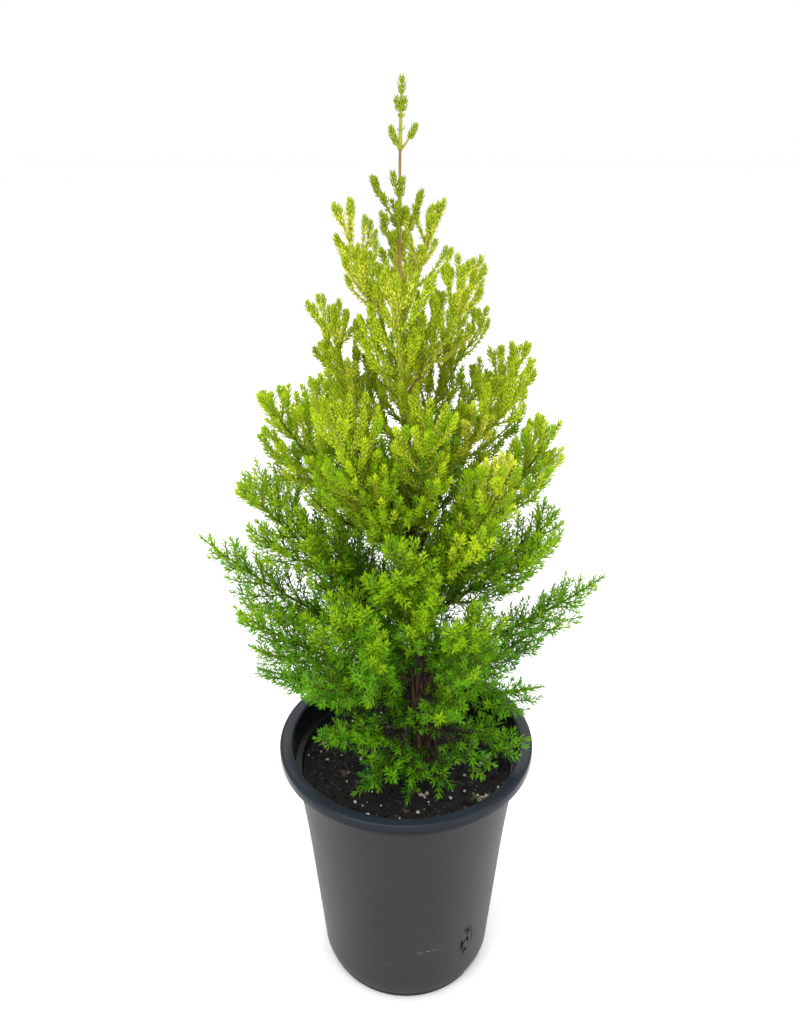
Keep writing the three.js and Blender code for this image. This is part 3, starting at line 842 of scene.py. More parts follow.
print(f"at the soil the trunk is {2 * trunk_radius(0):.1f} mm thick")

# %% [markdown]
# ## Bark
# Cypress bark is a mat of long, stringy fibres that run up the stem, splitting into shreds low
# down. The relief is real: a tube with many corners is pushed in and out by noise that is
# stretched along the stem. Loose shreds are thin curved strips whose ends stand off the trunk.

# %% Bark finish
young_bark_low, young_bark_high = 0.33, 0.43  # heights in metres between which bark turns yellow-brown


def stringy_bark(name, strength):
    """Bark, lighter or darker. Strength 1 is the trunk's own, and a lower strength paints shade into it.
    """
    finish = Finish(name, 0.88)
    fibres_along = finish.noise(520, 5, along=(1, 1, 0.08))
    steps = ((0.36, (0.008, 0.006, 0.005)), (0.5, (0.05, 0.026, 0.015)), (0.66, (0.21, 0.1, 0.048)))
    dark_steps = [(place, tuple(part * strength for part in color)) for place, color in steps]
    bark_color = finish.ramp(fibres_along, *dark_steps)
    greenish = finish.mask(finish.noise(60, 2), 0.5, 0.75, 0.35)
    old_bark = finish.mixed(greenish, bark_color, (0.05 * strength, 0.045 * strength, 0.02 * strength))
    young_bark = finish.mask(finish.height(), young_bark_low, young_bark_high)
    young_color = finish.ramp(fibres_along, (0.3, (0.2, 0.11, 0.03)), (0.7, (0.4, 0.27, 0.07)))
    finish.color(finish.mixed(young_bark, old_bark, young_color))
    finish.bump(fibres_along, 0.9, 0.0011)
    return finish.material


bark_finish = stringy_bark("stringy_bark", 1)
# painted shade: the low boughs' bark is darkened for the skirt's shade
shaded_bark = stringy_bark("shaded_bark", 0.4)
print("two kinds of bark, one of them in the skirt's shade")

# %% Bark mesh
trunk_rings = 260
trunk_sides = 56
trunk_relief = 1.0
bark_inset = 0.1  # the ridges stand out past the solid, so the tube starts a little inside it
sunk_in_soil = 1.5
full_relief_radius = 5  # slimmer limbs have shallower ridges


def relief(point, depth):
    """How far the bark stands out at a place: ridges that run along the stem."""
    x, y, z = point
    ridges = 1 - abs(noise.noise(Vector((x * 0.55, y * 0.55, z * 0.045)))) * 2
    strings = noise.noise(Vector((x * 1.7, y * 1.7, z * 0.14 + 9)))
    return depth * (ridges - 0.5 + 0.7 * strings)


def bark_tube(centres, radii, sides, depth):
    """A limb with bark relief. Its rings lie across its line, and each end is closed."""
    points, faces = tube(centres, radii, sides)
    middle = np.repeat(np.asarray(centres, float), sides, axis=0)
    away = points - middle
    size = np.linalg.norm(away, axis=1)
    scaled = [depth * min(1, radius / full_relief_radius) for radius in size]
    stand = np.array([relief(point, its_depth) for point, its_depth in zip(points, scaled)])
    return middle + away * ((size + stand) / size)[:, None], faces


trunk_steps = trunk_share * np.linspace(0, 1, trunk_rings) ** 1.15
trunk_middles = trunk_centre(trunk_steps)
trunk_radii = trunk_radius(trunk_steps) - bark_inset
trunk_points, trunk_faces = bark_tube(trunk_middles, trunk_radii, trunk_sides, trunk_relief)
trunk_points[:trunk_sides, 2] = trunk_foot - sunk_in_soil
trunk = mesh_piece("trunk_bark", trunk_points, trunk_faces, bark_finish)
on_plant(trunk, "bark", "trunk")
print("the trunk's bark has", len(trunk_faces), "faces")

# %% Shreds
shred_count = 190
shred_stand = 0.55
shred_thickness = 0.22


def shred(random):
    """One loose strip of bark: a thin closed ribbon that peels away at one end."""
    low = random.uniform(0.004, 0.2) ** 1.1
    length = random.uniform(6, 24)
    width = random.uniform(0.5, 1.5)
    around = random.uniform(0, 2 * math.pi)
    drift = random.uniform(-0.25, 0.25)
    peel = random.uniform(0.4, 2.6) * random.choice([0, 1])
    steps = np.linspace(0, 1, 9)
    shares = low + steps * length / plant_height
    angles = around + drift * steps
    out = trunk_radius(shares) + shred_stand + peel * steps**3 + 0.25 * np.sin(5 * steps + around)
    middle = trunk_centre(shares)
    outward = np.column_stack([np.cos(angles), np.sin(angles), 0 * angles])
    across = np.column_stack([-np.sin(angles), np.cos(angles), 0 * angles])
    spine = middle + outward * out[:, None]
    half = (width / 2 * np.sin(math.pi * (0.12 + 0.8 * steps)))[:, None]
    ridge = spine + outward * shred_thickness
    ring = np.stack([spine - across * half, ridge, spine + across * half], axis=1)
    faces = []
    for step in range(len(steps) - 1):
        for side in range(3):
            a, b = step * 3 + side, step * 3 + (side + 1) % 3
            faces += [(a, b + 3, b), (a, a + 3, b + 3)]
    top = 3 * (len(steps) - 1)
    faces += [(0, 1, 2), (top, top + 2, top + 1)]
    return ring.reshape(-1, 3), np.array(faces)


bark_random = np.random.default_rng(23)
strips = [shred(bark_random) for _ in range(shred_count)]
shreds = mesh_piece("bark_shreds", *joined(strips), bark_finish)
on_plant(shreds, "bark")
print(shred_count, "loose shreds of bark")

# %% [markdown]
# ## The branch rule
# Every branch is one parabola from the trunk to its tip, flat at first and then rising, or in the
# skirt hanging. Most of the crown's outline comes from a short list of given branches.
# Ring branches then fill the gaps: each looks at twelve directions and takes the one with the most
# room, but low down the front stays open, where the trunk shows. The rule and its sizes are the
# source's own, so that the twigs grown here stay where the solids are.

# %% Branch sizes
crown_widest = 108
crown_taper = 100
crown_power = 1.6
ring_count = 11
lowest_ring_tip = 262
highest_ring_tip = 506
first_azimuth = 62
golden_angle = 137.508
azimuth_choices = 12
window_azimuth = 270
window_width = 50
window_top = 300
lowest_climb = 22
climb_gain = 43
least_reach, reach_spread = 0.86, 0.14  # of a ring branch, as shares of the crown's radius
climb_below = 40  # the climb starts to steepen this far below the lowest ring's tip
bend_place = 0.58
bend_sag = 0.22
limb_share = 0.27
bough_below = 212
bough_radius = 1.4
bough_gain = 1.0
trace_pieces = 20
seed = 41
placed_branches = [  # azimuth in degrees, where it leaves the trunk, how high its tip is, how far out
    (246, 210, 187, 54), (274, 204, 179, 44), (300, 184, 178, 55), (322, 196, 190, 68),  # front skirt
    (341, 187, 197, 80), (356, 206, 222, 86),
    (310, 211, 234, 54), (336, 223, 262, 66),  # clump right of the trunk
    (214, 184, 208, 62), (167, 190, 216, 78), (184, 208, 236, 92), (197, 221, 290, 100),  # low left
    (178, 241, 322, 122),  # long left
    (10, 212, 254, 88),  # low right
    (359, 236, 299, 118),  # long right
    (72, 196, 222, 84), (120, 182, 212, 78),  # back skirt
    (182, 270, 360, 94), (178, 314, 411, 79), (174, 378, 458, 50),  # up the left side
    (2, 266, 340, 89), (358, 298, 396, 85), (6, 344, 436, 67),  # up the right side
    (238, 234, 312, 74), (306, 238, 304, 76), (268, 254, 350, 64), (320, 286, 388, 72),  # up the front
    (234, 310, 420, 62), (284, 322, 422, 50), (262, 384, 480, 36),
    (183, 442, 508, 34),  # upper left
    (356, 410, 484, 38),  # upper right
]

# %% Random numbers


def seeded_random(start):
    """The same little generator that the source draws its random numbers from."""
    state = start & 0xFFFFFFFF

    def draw():
        nonlocal state
        state = (state + 0x6D2B79F5) & 0xFFFFFFFF
        mixed = ((state ^ (state >> 15)) * (state | 1)) & 0xFFFFFFFF
        mixed ^= (mixed + (((mixed ^ (mixed >> 7)) * (mixed | 61)) & 0xFFFFFFFF)) & 0xFFFFFFFF
        return ((mixed ^ (mixed >> 14)) & 0xFFFFFFFF) / 4294967296

    return draw


# %% [markdown]
# ## Curved lines
# All stems and twigs are parabolas, given by three points. A parabola lies in one plane, so a
# frame that never twists is free: the plane's own normal and the tangent are enough.

# %% Parabola


class Parabola:
    """A curved line from start to end, drawn towards a bend, and measured along its length."""

    table = np.linspace(0, 1, 201)

    def __init__(self, start, bend, end):
        self.start, self.bend, self.end = (np.asarray(p, float) for p in (start, bend, end))
        spans = np.linalg.norm(np.diff(self.points(self.table), axis=0), axis=1)
        self.lengths = np.concatenate([[0], np.cumsum(spans)])
        self.length = self.lengths[-1]

    def points(self, t):
        t = np.asarray(t, float)[..., None]
        return (1 - t) ** 2 * self.start + 2 * t * (1 - t) * self.bend + t**2 * self.end

    def steps(self, shares):
        """The parameter at shares of the length."""
        return np.interp(np.asarray(shares, float) * self.length, self.lengths, self.table)

    def at(self, shares):
        return self.points(self.steps(shares))

    def heading(self, shares):
        t = self.steps(shares)[..., None]
        along = (1 - t) * (self.bend - self.start) + t * (self.end - self.bend)
        return along / np.linalg.norm(along, axis=-1, keepdims=True)

    def part(self, low, high):
        """The stretch between two values of the parameter, as a parabola."""
        bend = self.points(low) + (self.bend - self.start) * (high - low) * (1 - low)
        bend += (self.end - self.bend) * (high - low) * low
        return Parabola(self.points(low), bend, self.points(high))


# %% Branches


def least_distance(points, trace):
    """The distance from each point to a line of straight pieces."""
    start, span = trace[:-1], np.diff(trace, axis=0)
    offset = points[:, None] - start[None]
    along = np.clip((offset * span).sum(2) / (span * span).sum(1), 0, 1)
    return np.linalg.norm(offset - along[..., None] * span, axis=2).min(1)


class Branch:
    """One limb of the crown, by where it starts, where its tip is, and which way it points."""

    def __init__(self, azimuth, start_z, tip_z, reach):
        self.start_z, self.tip_z, self.reach = start_z, tip_z, reach
        self.azimuth = math.radians(azimuth)
        self.share = (start_z - trunk_foot) / plant_height
        start = trunk_centre(self.share)
        rise = tip_z - start_z
        tip = np.array([reach * math.cos(self.azimuth), reach * math.sin(self.azimuth), start[2] + rise])
        bend = start + (tip - start) * bend_place
        bend[2] -= abs(rise) * bend_sag - min(rise, 0)
        self.line = Parabola(start, bend, tip)
        self.trace = self.line.points(np.linspace(0, 1, trace_pieces + 1))
        self.has_bough = start_z < bough_below


def crown_radius(z):
    """How far out the crown reaches at a height."""
    return crown_widest * (1 - math.exp(-(plant_top - z) / crown_taper)) ** crown_power


def climb_at(z):
    """How steeply a ring branch rises to a tip at this height, in radians."""
    low, high = lowest_ring_tip - climb_below, highest_ring_tip
    share = min(1, max(0, (z - low) / (high - low)))
    return math.radians(lowest_climb + climb_gain * share * share * (3 - 2 * share))


def with_ring_branches(placed):
    """The placed branches and the rings between them, from the lowest start to the highest."""
    grown = [Branch(*row) for row in placed]
    for i in range(ring_count):
        draw = seeded_random(seed + i)
        tip_z = lowest_ring_tip + (highest_ring_tip - lowest_ring_tip) * i / (ring_count - 1)
        reach = crown_radius(tip_z) * (least_reach + reach_spread * draw())
        start_z = tip_z - reach * math.tan(climb_at(tip_z))
        choices = []
        for turn in range(azimuth_choices):
            azimuth = (first_azimuth + i * golden_angle + turn * 360 / azimuth_choices) % 360
            in_window = start_z < window_top and abs(azimuth - window_azimuth) < window_width / 2
            if not in_window:
                choices.append(Branch(azimuth, start_z, tip_z, reach))
        rooms = []
        for choice in choices:
            outer_half = choice.trace[trace_pieces // 2:]
            rooms.append(min(least_distance(outer_half, other.trace).min() for other in grown))
        grown.append(choices[rooms.index(max(rooms))])
    return sorted(grown, key=lambda branch: branch.start_z)


branches = with_ring_branches(placed_branches)
for index, branch in enumerate(branches):
    branch.number = f"{index + 1:02d}"
    branch.draw = seeded_random(seed * 100 + index)
worst = 0
for branch in branches:
    low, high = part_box(f"foliage_{branch.number}")
    tip = branch.line.end * MILLIMETRE
    outside = max(max(low[i] - tip[i], tip[i] - high[i]) for i in range(3))
    worst = max(worst, outside / MILLIMETRE)
print(f"{len(branches)} branches, the tips lie within {worst:.2f} mm of their solids' boxes")

# %% [markdown]
# ## A mass's own space
# Sprays that grow through each other look like a hedge, and no real tree does that: each branch
# shades the others out of its own place. So a point may be used only by the branch whose line is
# nearest, and never inside the trunk, the soil or the pot's lip. The test takes many points at
# once against all the branches' lines, because it is asked tens of thousands of times.

# %% Own space
leader_from = 0.85
leader_radius = 1.9
room_between_masses = 1.3  # how much nearer a mass's own line has to be than any other
tip_spread = 2.5
tip_rise = 4
room_over_soil = 1.5
room_round_trunk = 1
room_over_lip = 2
room_inside_lip = 3

piece_starts = np.concatenate([branch.trace[:-1] for branch in branches])
piece_spans = np.concatenate([np.diff(branch.trace, axis=0) for branch in branches])
piece_squares = (piece_spans**2).sum(1)
first_pieces = np.arange(len(branches)) * trace_pieces
leader_trace = trunk_centre(np.array([leader_from - 0.01, 1.0]))


def distance_to_trunk(points):
    """How far points lie outside the trunk's surface, at their own height."""
    share = np.clip((points[:, 2] - trunk_foot) / plant_height, 0, trunk_share)
    centre = trunk_centre(share)
    return np.hypot(points[:, 0] - centre[:, 0], points[:, 1] - centre[:, 1]) - trunk_radius(share)


def in_own_space(points, index, room=room_between_masses, rise=tip_rise):
    """Whether all these points may be used by one branch."""
    owner = branches[index]
    radius = np.hypot(points[:, 0], points[:, 1])
    if (radius > owner.reach + tip_spread).any():
        return False
    if (points[:, 2] > max(owner.tip_z + rise, owner.start_z)).any():
        return False
    if (points[:, 2] < soil_top + room_over_soil).any():
        return False
    if (distance_to_trunk(points) < room_round_trunk).any():
        return False
    beside_lip = radius > collar_radius - wall - room_inside_lip
    if (beside_lip & (points[:, 2] < pot_height + room_over_lip)).any():
        return False
    offset = points[:, None] - piece_starts[None]
    along = np.clip((offset * piece_spans).sum(2) / piece_squares, 0, 1)
    gap = np.sqrt(((offset - along[..., None] * piece_spans) ** 2).sum(2))
    nearest = np.minimum.reduceat(gap, first_pieces, axis=1)
    own = nearest[:, index] + room
    nearest[:, index] = np.inf
    if (least_distance(points, leader_trace) < own + leader_radius).any():
        return False
    return bool((nearest.min(1) >= own).all())


print("a mass's own line is nearer by", room_between_masses, "mm or more than any other line")

# %% [markdown]
# ## Twigs
# The first order of twigs is the source's own: three sides of each stretch of a stem may bear one,
# and a twig that finds no room grows shorter or not at all. Here the same rule goes on. Stems and
# twigs bear finer shoots all along, and long shoots bear buds. The order in which random numbers
# are drawn matters, since it decides which twigs come out the same as on the solids.

# %% Twig sizes
LEADER = -1  # stands for the leader where other twigs name their mass
stem_thickness = 1.15
twig_thickness = 0.62
whorl_spacing = 13
whorl_turn = 0.35
twig_share = 0.8
twig_fade = 0.68
twig_spread = 0.3
least_stem = 56
shortest_twig = 11
next_try = 0.8  # a twig without room tries again this much shorter
twig_angle = math.radians(42)
twig_lift = 0.5
root_place = 0.75
twig_sides = 3
room_between_twigs = 6
slim_beyond = 110  # the longest sprays stay slim: only this share of each twig is grown
slim_share = 0.6
UP = np.array([0, 0, 1.0])


def unit(vector):
    """The same direction at length 1."""
    return vector / np.linalg.norm(vector)


def three_sided_frames(line, count):
    """Frames along a line that turn with it as little as they can, from ring to ring."""
    tangents = line.heading(np.arange(count + 1) / count)
    size = np.abs(tangents[0])
    axis = np.eye(3)[2 - np.argmin(size[::-1])]  # the one that the line leans towards least
    normal = np.cross(tangents[0], unit(np.cross(tangents[0], axis)))
    frames = [(normal, np.cross(tangents[0], normal))]
    for before, after in zip(tangents[:-1], tangents[1:]):
        turn = np.cross(before, after)
        if np.linalg.norm(turn) > 1e-12:
            angle = math.acos(min(1, max(-1, before @ after)))
            pivot = unit(turn)
            normal = (
                normal * math.cos(angle)
                + np.cross(pivot, normal) * math.sin(angle)
                + pivot * (pivot @ normal) * (1 - math.cos(angle))
            )
        frames.append((normal, np.cross(after, normal)))
    return frames


def twig_line(start, along, away, length, angle=twig_angle, lift=twig_lift):
    """A twig leaves its stem at an angle and bends up towards the light."""
    away = unit(away - along * (away @ along))
    heading = away * math.sin(angle) + along * math.cos(angle)
    return Parabola(start, start + heading * length / 2, start + unit(heading + UP * lift) * length)


class Twig:
    """A stem, twig, shoot or bud, with what later steps need to know about it."""

    def __init__(self, line, order, mass, thickness):
        self.line, self.order, self.mass, self.thickness = line, order, mass, thickness
        self.trace = line.points(np.linspace(0, 1, max(4, int(line.length / 4) + 2)))


def source_twigs(index, stem):
    """The twigs of the first order, as the source grows them on one stem."""
    branch = branches[index]
    count = max(2, int(stem.length / whorl_spacing + 0.5))
    frames = three_sided_frames(stem, count)
    twigs = []
    for i in range(0 if branch.has_bough else 1, count - 1):
        share = i / count
        middle = stem.at(share + 0.5 / count)
        along = stem.heading(share + 0.5 / count)
        normal, binormal = frames[i]
        for k in range(twig_sides):
            angle = i * whorl_turn + math.pi / 3 + whorl_turn / 2 + (i + k) % 3 * 2 * math.pi / 3
            away = normal * math.cos(angle) + binormal * math.sin(angle)
            usual = max(stem.length, least_stem) * (twig_share - twig_fade * share)
            length = usual * (1 + twig_spread * (branch.draw() - 0.5))
            while length > shortest_twig:
                line = twig_line(middle, along, away, length)
                points = line.points(np.linspace(0, 1, 7))
                clear = all(least_distance(points[3:], t.trace).min() > room_between_twigs for t in twigs)
                if clear and in_own_space(points[1:], index):
                    twigs.append(Twig(line, 1, index, twig_thickness))
                    break
                length *= next_try
    return twigs


stems = []
source = []
for index, branch in enumerate(branches):
    gap = seam if branch.has_bough else trunk_radius(branch.share) * root_place
    start = (limb_share if branch.has_bough else 0) + gap / branch.reach
    stems.append(Twig(branch.line.part(start, 1), 0, index, stem_thickness))
    twigs = source_twigs(index, stems[-1].line)
    if branch.reach > slim_beyond:
        twigs = [Twig(twig.line.part(0, slim_share), 1, index, twig.thickness) for twig in twigs]
    source.append(twigs)
print("first-order twigs:", sum(len(twigs) for twigs in source))

# %% [markdown]
# ## Youth
# Leaves change along the plant. At the top they are short, broad scales that lie close along the
# twig and crowd into blunt clubs at its end. Low down they are long thin needles that stand out
# like stars. One number, the youth of a place, runs from 0 at the bottom to 1 at the top, and
# everything about a leaf follows from it.

# %% Youth
oldest_below = soil_top + 100
youngest_above = soil_top + 325


def smooth(low, high, value):
    """Rises softly from 0 at low to 1 at high."""
    share = np.clip((value - low) / (high - low), 0, 1)
    return share * share * (3 - 2 * share)


def youth(z):
    return smooth(oldest_below, youngest_above, z)


def blend(old, young, y):
    """A size that runs from its value low on the plant to its value at the top."""
    return old + (young - old) * y


print(f"halfway up, the youth is {youth(soil_top + plant_height / 2):.2f}")

# %% [markdown]
# ## Finer shoots
# On the real plant each twig is a feather: its side shoots are long near its root and ever shorter
# towards its tip, and they stand a few millimetres apart all round. Growing them by the length
# that is left to the tip gives that outline by itself. A shoot also needs room beside its
# neighbours, or the feathers would clot into a solid mass. The skirt's old wood sprouts short
# sprigs close to the trunk. High up, shoots may pass a little into a neighbour's space, so that
# no empty wedge is left between two masses.

# %% Finer shoots
fine_random = np.random.default_rng(5)


class Order:
    """How one finer order of shoots grows on the order before it.

    All but the thickness are pairs: low on the plant, and at its top.
    """

    def __init__(self, spacing, share, longest, shortest, angle, lift, room, thickness):
        self.spacing, self.share, self.longest, self.shortest = spacing, share, longest, shortest
        self.angle, self.lift, self.room, self.thickness = angle, lift, room, thickness


shoot_order = Order(
    spacing=(3.1, 4.4), share=(0.45, 0.8), longest=(21, 32), shortest=(5, 6),
    angle=(42, 28), lift=(0.4, 0.8), room=(3.1, 5.6), thickness=0.5,
)
bud_order = Order(
    spacing=(5.0, 8.0), share=(0.5, 0.5), longest=(9, 9), shortest=(4.5, 5),
    angle=(44, 32), lift=(0.3, 0.6), room=(3.4, 5.0), thickness=0.4,
)
sprig_order = Order(
    spacing=(1.2, 1.2), share=(0.9, 0.9), longest=(19, 19), shortest=(5, 5),
    angle=(58, 40), lift=(0.5, 0.9), room=(2.3, 2.3), thickness=0.42,
)
# Pairs again: how much of the room between masses shoots may give up, how far they may rise above
# their mass's tip, and how long the end of a twig is that bears needles only.
overlap = (0.5, 9)
shoot_rise = (4, 11)
plain_tip = (9.0, 3.0)

usual_room = 0.2  # the room between masses for shoots, before the overlap is taken off
first_shoot = 0.8  # in spacings from the root of the twig
extra_length = 3.5
next_shoot_try = 0.72
turn_chance, place_chance, size_chance = 0.4, 0.8, (0.7, 1.15)  # radians, millimetres, a factor
tested_shares = np.array([0.45, 0.7, 1.0])  # where along a shoot its room is tested
old_wood_from, old_wood_past = 0.08, 0.04  # shares: where sprigs start, and how far past the limb
old_wood_thickness = 1.5
bud_bearing = 12  # shorter shoots bear no buds


class Crowd:
    """The points that twigs of one mass already take up, to keep new ones clear of them."""

    def __init__(self, twigs):
        self.points = np.concatenate([twig.trace for twig in twigs])
        self.owners = np.concatenate([np.full(len(twig.trace), id(twig)) for twig in twigs])

    def has_room(self, points, room, parent):
        """Whether points keep clear of every twig but the one that they grow on."""
        others = self.points[self.owners != id(parent)]
        gap = ((points[:, None] - others[None]) ** 2).sum(2)
        return gap.min() > room * room

    def add(self, twig):
        self.points = np.concatenate([self.points, twig.trace])
        self.owners = np.concatenate([self.owners, np.full(len(twig.trace), id(twig))])


def finer(parents, index, crowd, order, level):
    """Grows one finer order of shoots on all the twigs of a mass."""
    grown = []
    around = 0.0
    for parent in parents:
        length = parent.line.length
        y = float(youth(parent.line.end[2]))
        spacing, room = blend(*order.spacing, y), blend(*order.room, y)
        angle, lift = math.radians(blend(*order.angle, y)), blend(*order.lift, y)
        shortest = blend(*order.shortest, y)
        for reach in np.arange(spacing * first_shoot, length - blend(*plain_tip, y), spacing):
            around += math.radians(golden_angle) + fine_random.uniform(-turn_chance, turn_chance)
            share = (reach + fine_random.uniform(-place_chance, place_chance)) / length
            left = (1 - share) * length * blend(*order.share, y) + extra_length
            size = min(blend(*order.longest, y), left)
            size *= fine_random.uniform(*size_chance)
            start, along = parent.line.at(share), parent.line.heading(share)
            side = unit(np.cross(along, UP if abs(along[2]) < 0.9 else (1.0, 0, 0)))
            away = side * math.cos(around) + np.cross(along, side) * math.sin(around)
            while size > shortest:
                line = twig_line(start, along, away, size, angle, lift)
                points = line.points(tested_shares)
                own_room = usual_room - blend(*overlap, y)
                own = in_own_space(points, index, own_room, blend(*shoot_rise, y))
                if own and crowd.has_room(points, room, parent):
                    shoot = Twig(line, level, index, order.thickness)
                    shoot.parent = parent
                    grown.append(shoot)
                    crowd.add(shoot)
                    break
                size *= next_shoot_try
    return grown


shoots, buds = [], []
for index, stem in enumerate(stems):
    first_order = sorted(source[index], key=lambda twig: -twig.line.length)
    crowd = Crowd([stem, *first_order])
    sprigs = []
    if branches[index].has_bough:
        old_line = branches[index].line.part(old_wood_from, limb_share + old_wood_past)
        old_wood = Twig(old_line, 1, index, old_wood_thickness)
        sprigs = finer([old_wood], index, crowd, sprig_order, 2)
    side_shoots = sprigs + finer([stem, *first_order], index, crowd, shoot_order, 2)
    shoots += side_shoots
    long_shoots = [shoot for shoot in side_shoots if shoot.line.length > bud_bearing]
    buds += finer(long_shoots, index, crowd, bud_order, 3)
all_twigs = [*stems, *[twig for twigs in source for twig in twigs], *shoots, *buds]
total = sum(twig.line.length for twig in all_twigs) / 1000
print(f"{len(shoots)} shoots, {len(buds)} buds, {total:.1f} m of twig in all")

# %% [markdown]
# ## The leader
# The top of a lemon cypress is a bare red-brown shoot that carries a club of scale leaves at its
# tip and a few pairs of short side shoots below. Its side shoots are placed one by one, since
# each of them shows against the background.

# %% Leader
leader_shoots = [  # height, azimuth, length, and angle off the leader
    (550.5, 188, 6.2, 20), (550.5, 8, 6.2, 20),
    (534, 183, 10.5, 30), (534, 5, 13, 42), (512, 172, 12, 20), (508, 312, 13, 12), (498, 318, 9, 22),
    (499, 186, 26, 38), (484, 2, 33, 24), (489, 95, 22, 30), (477, 205, 30, 24), (493, 262, 17, 26),
]
side_buds = ((0.42, 1), (0.6, -1), (0.76, 1))  # share of the shoot, and side
leader_thickness, shoot_thickness, bud_thickness = 0.7, 0.55, 0.45
leader_lift = 0.25
bears_buds_from = 18
bud_size = 6.5
bud_angle, bud_lift = 0.6, 0.3


def leader_twigs():
    """The plant's top shoot, its side shoots and their buds."""
    top = Twig(Parabola(*trunk_centre([0.925, trunk_share, 1.0])), 1, LEADER, leader_thickness)
    twigs = [top]
    for z, azimuth, length, angle in leader_shoots:
        start = trunk_centre((z - trunk_foot) / plant_height)
        away = np.array([math.cos(math.radians(azimuth)), math.sin(math.radians(azimuth)), 0])
        line = twig_line(start, UP, away, length, math.radians(angle), leader_lift)
        shoot = Twig(line, 2, LEADER, shoot_thickness)
        shoot.parent = top
        twigs.append(shoot)
        for share, turn in side_buds if length > bears_buds_from else ():
            side = np.array([-away[1], away[0], 0.3]) * turn
            start, along = line.at(share), line.heading(share)
            bud_line = twig_line(start, along, side, bud_size, bud_angle, bud_lift)
            bud = Twig(bud_line, 3, LEADER, bud_thickness)
            bud.parent = shoot
            twigs.append(bud)
    return twigs


all_twigs += leader_twigs()
print("the leader bears", len(leader_shoots), "shoots")

# %% [markdown]
# ## Woody limbs
# Close to the trunk the limbs are brown and ridged like it. Each bough and the inner part of each
# stem is a bark tube, thick where it leaves the trunk. The low boughs lie in the skirt's shade, and
# their bark is painted darker for that shade. Further out the stem turns green, and there it is a twig.

# %% Woody limbs
woody_share = 0.42
woody_overlap = 0.04  # how far the bark reaches over the green part
limb_rings = 30
limb_sides = 14
limb_relief = 0.55
slimmer_bough = 0.75  # the bark's radius at the root, as a share of the solid's
slimmer_limb = 0.7
limb_on_trunk = 0.55  # a limb's radius is at most this share of the trunk's
limb_tip_radius = 0.55
root_collar = np.array([1.25, 1.12, 1.05, 1.02])


def limb_radius(branch, share):
    """A woody limb's radius along its length."""
    root = bough_radius + bough_gain * (1 - branch.share)
    if branch.has_bough:
        root *= slimmer_bough
    else:
        root = min(root * slimmer_limb, float(trunk_radius(branch.share)) * limb_on_trunk)
    return root * (1 - share) ** 0.8 + limb_tip_radius * share


def woody_limbs(low):
    """All the low boughs, or all the limbs above them, as one mesh."""
    parts = []
    for branch in branches:
        if branch.has_bough == low:
            shares = np.linspace(0, woody_share + woody_overlap, limb_rings)
            radii = np.array([limb_radius(branch, share) for share in shares])
            if low:
                radii[:len(root_collar)] *= root_collar
            parts.append(bark_tube(branch.line.points(shares), radii, limb_sides, limb_relief))
    return joined(parts)


boughs = [node for node in frame["nodes"] if node.startswith("bough_")]
low_limbs = mesh_piece("low_limbs", *woody_limbs(True), shaded_bark)
on_plant(low_limbs, "bark", *boughs)
upper_limbs = mesh_piece("upper_limbs", *woody_limbs(False), bark_finish)
on_plant(upper_limbs, "bark")
print("the low limbs stand for", len(boughs), "boughs")

# %% [markdown]
# ## Twig tubes
# A fine green twig is hardly wider than a needle, so three sides are enough for it. Stems have six
# sides and the twigs on them four. All twigs of one order and colour are swept at once as arrays.

# %% Twig tubes
SPARE = np.array([0.36, 0.48, 0.8])  # a slanted direction that makes a frame for straight twigs


def swept(lines, first, roots, tips, sides, rings):
    """Closed tapering tubes along many lines at once, from one share of their length on."""
    shares = first + (1 - first) * np.linspace(0, 1, rings)
    middles = np.stack([line.at(shares) for line in lines])
    along = np.stack([line.heading(shares) for line in lines])
    plane = np.cross(along[:, 0], along[:, -1])
    size = np.linalg.norm(plane, axis=1, keepdims=True)
    spare = np.cross(along[:, 0], SPARE)
    plane = np.where(size > 1e-6, plane / np.maximum(size, 1e-9), spare)
    plane /= np.linalg.norm(plane, axis=1, keepdims=True)
    second = np.cross(plane[:, None], along)
    angles = np.arange(sides) * 2 * math.pi / sides
    ring = (
        np.cos(angles)[None, None, :, None] * plane[:, None, None]
        + np.sin(angles)[None, None, :, None] * second[:, :, None]
    )
    taper = np.linspace(0, 1, rings)[None]
    radii = np.asarray(roots)[:, None] * (1 - taper) + np.asarray(tips)[:, None] * taper
    points = middles[:, :, None] + ring * radii[..., None, None]
    count = rings * sides
    pattern = []
    for low in range(rings - 1):
        for side in range(sides):
            a, b = low * sides + side, low * sides + (side + 1) % sides
            pattern += [(a, b, b + sides), (a, b + sides, a + sides)]
    top = (rings - 1) * sides
    pattern += [(0, i + 1, i) for i in range(1, sides - 1)]
    pattern += [(top, top + i, top + i + 1) for i in range(1, sides - 1)]
    faces = np.array(pattern)[None] + (np.arange(len(lines)) * count)[:, None, None]
    return points.reshape(-1, 3), faces.reshape(-1, 3)


# %% Twigs
plain_specular = 0.12
brown_within = 20  # from the pot's axis
brown_below = 340
lime_from = 0.3  # youth
swell_with_youth = 0.5
tip_share = 0.45  # a twig's tip radius as a share of its root's
twig_meshes = ((0, 6, 14), (1, 4, 7), (2, 3, 4), (3, 3, 3))  # order, sides, rings


def plain_finish(name, color, roughness):
    """A plain colour. Pieces made of countless small parts take no pattern."""
    finish = bpy.data.materials.new(name)
    finish.use_nodes = True
    shader = finish.node_tree.nodes["Principled BSDF"]
    shader.inputs["Base Color"].default_value = (*color, 1)
    shader.inputs["Roughness"].default_value = roughness
    shader.inputs["Specular IOR Level"].default_value = plain_specular
    return finish


def twig_radius(twig, y):
    return twig.thickness * (1 + swell_with_youth * y)


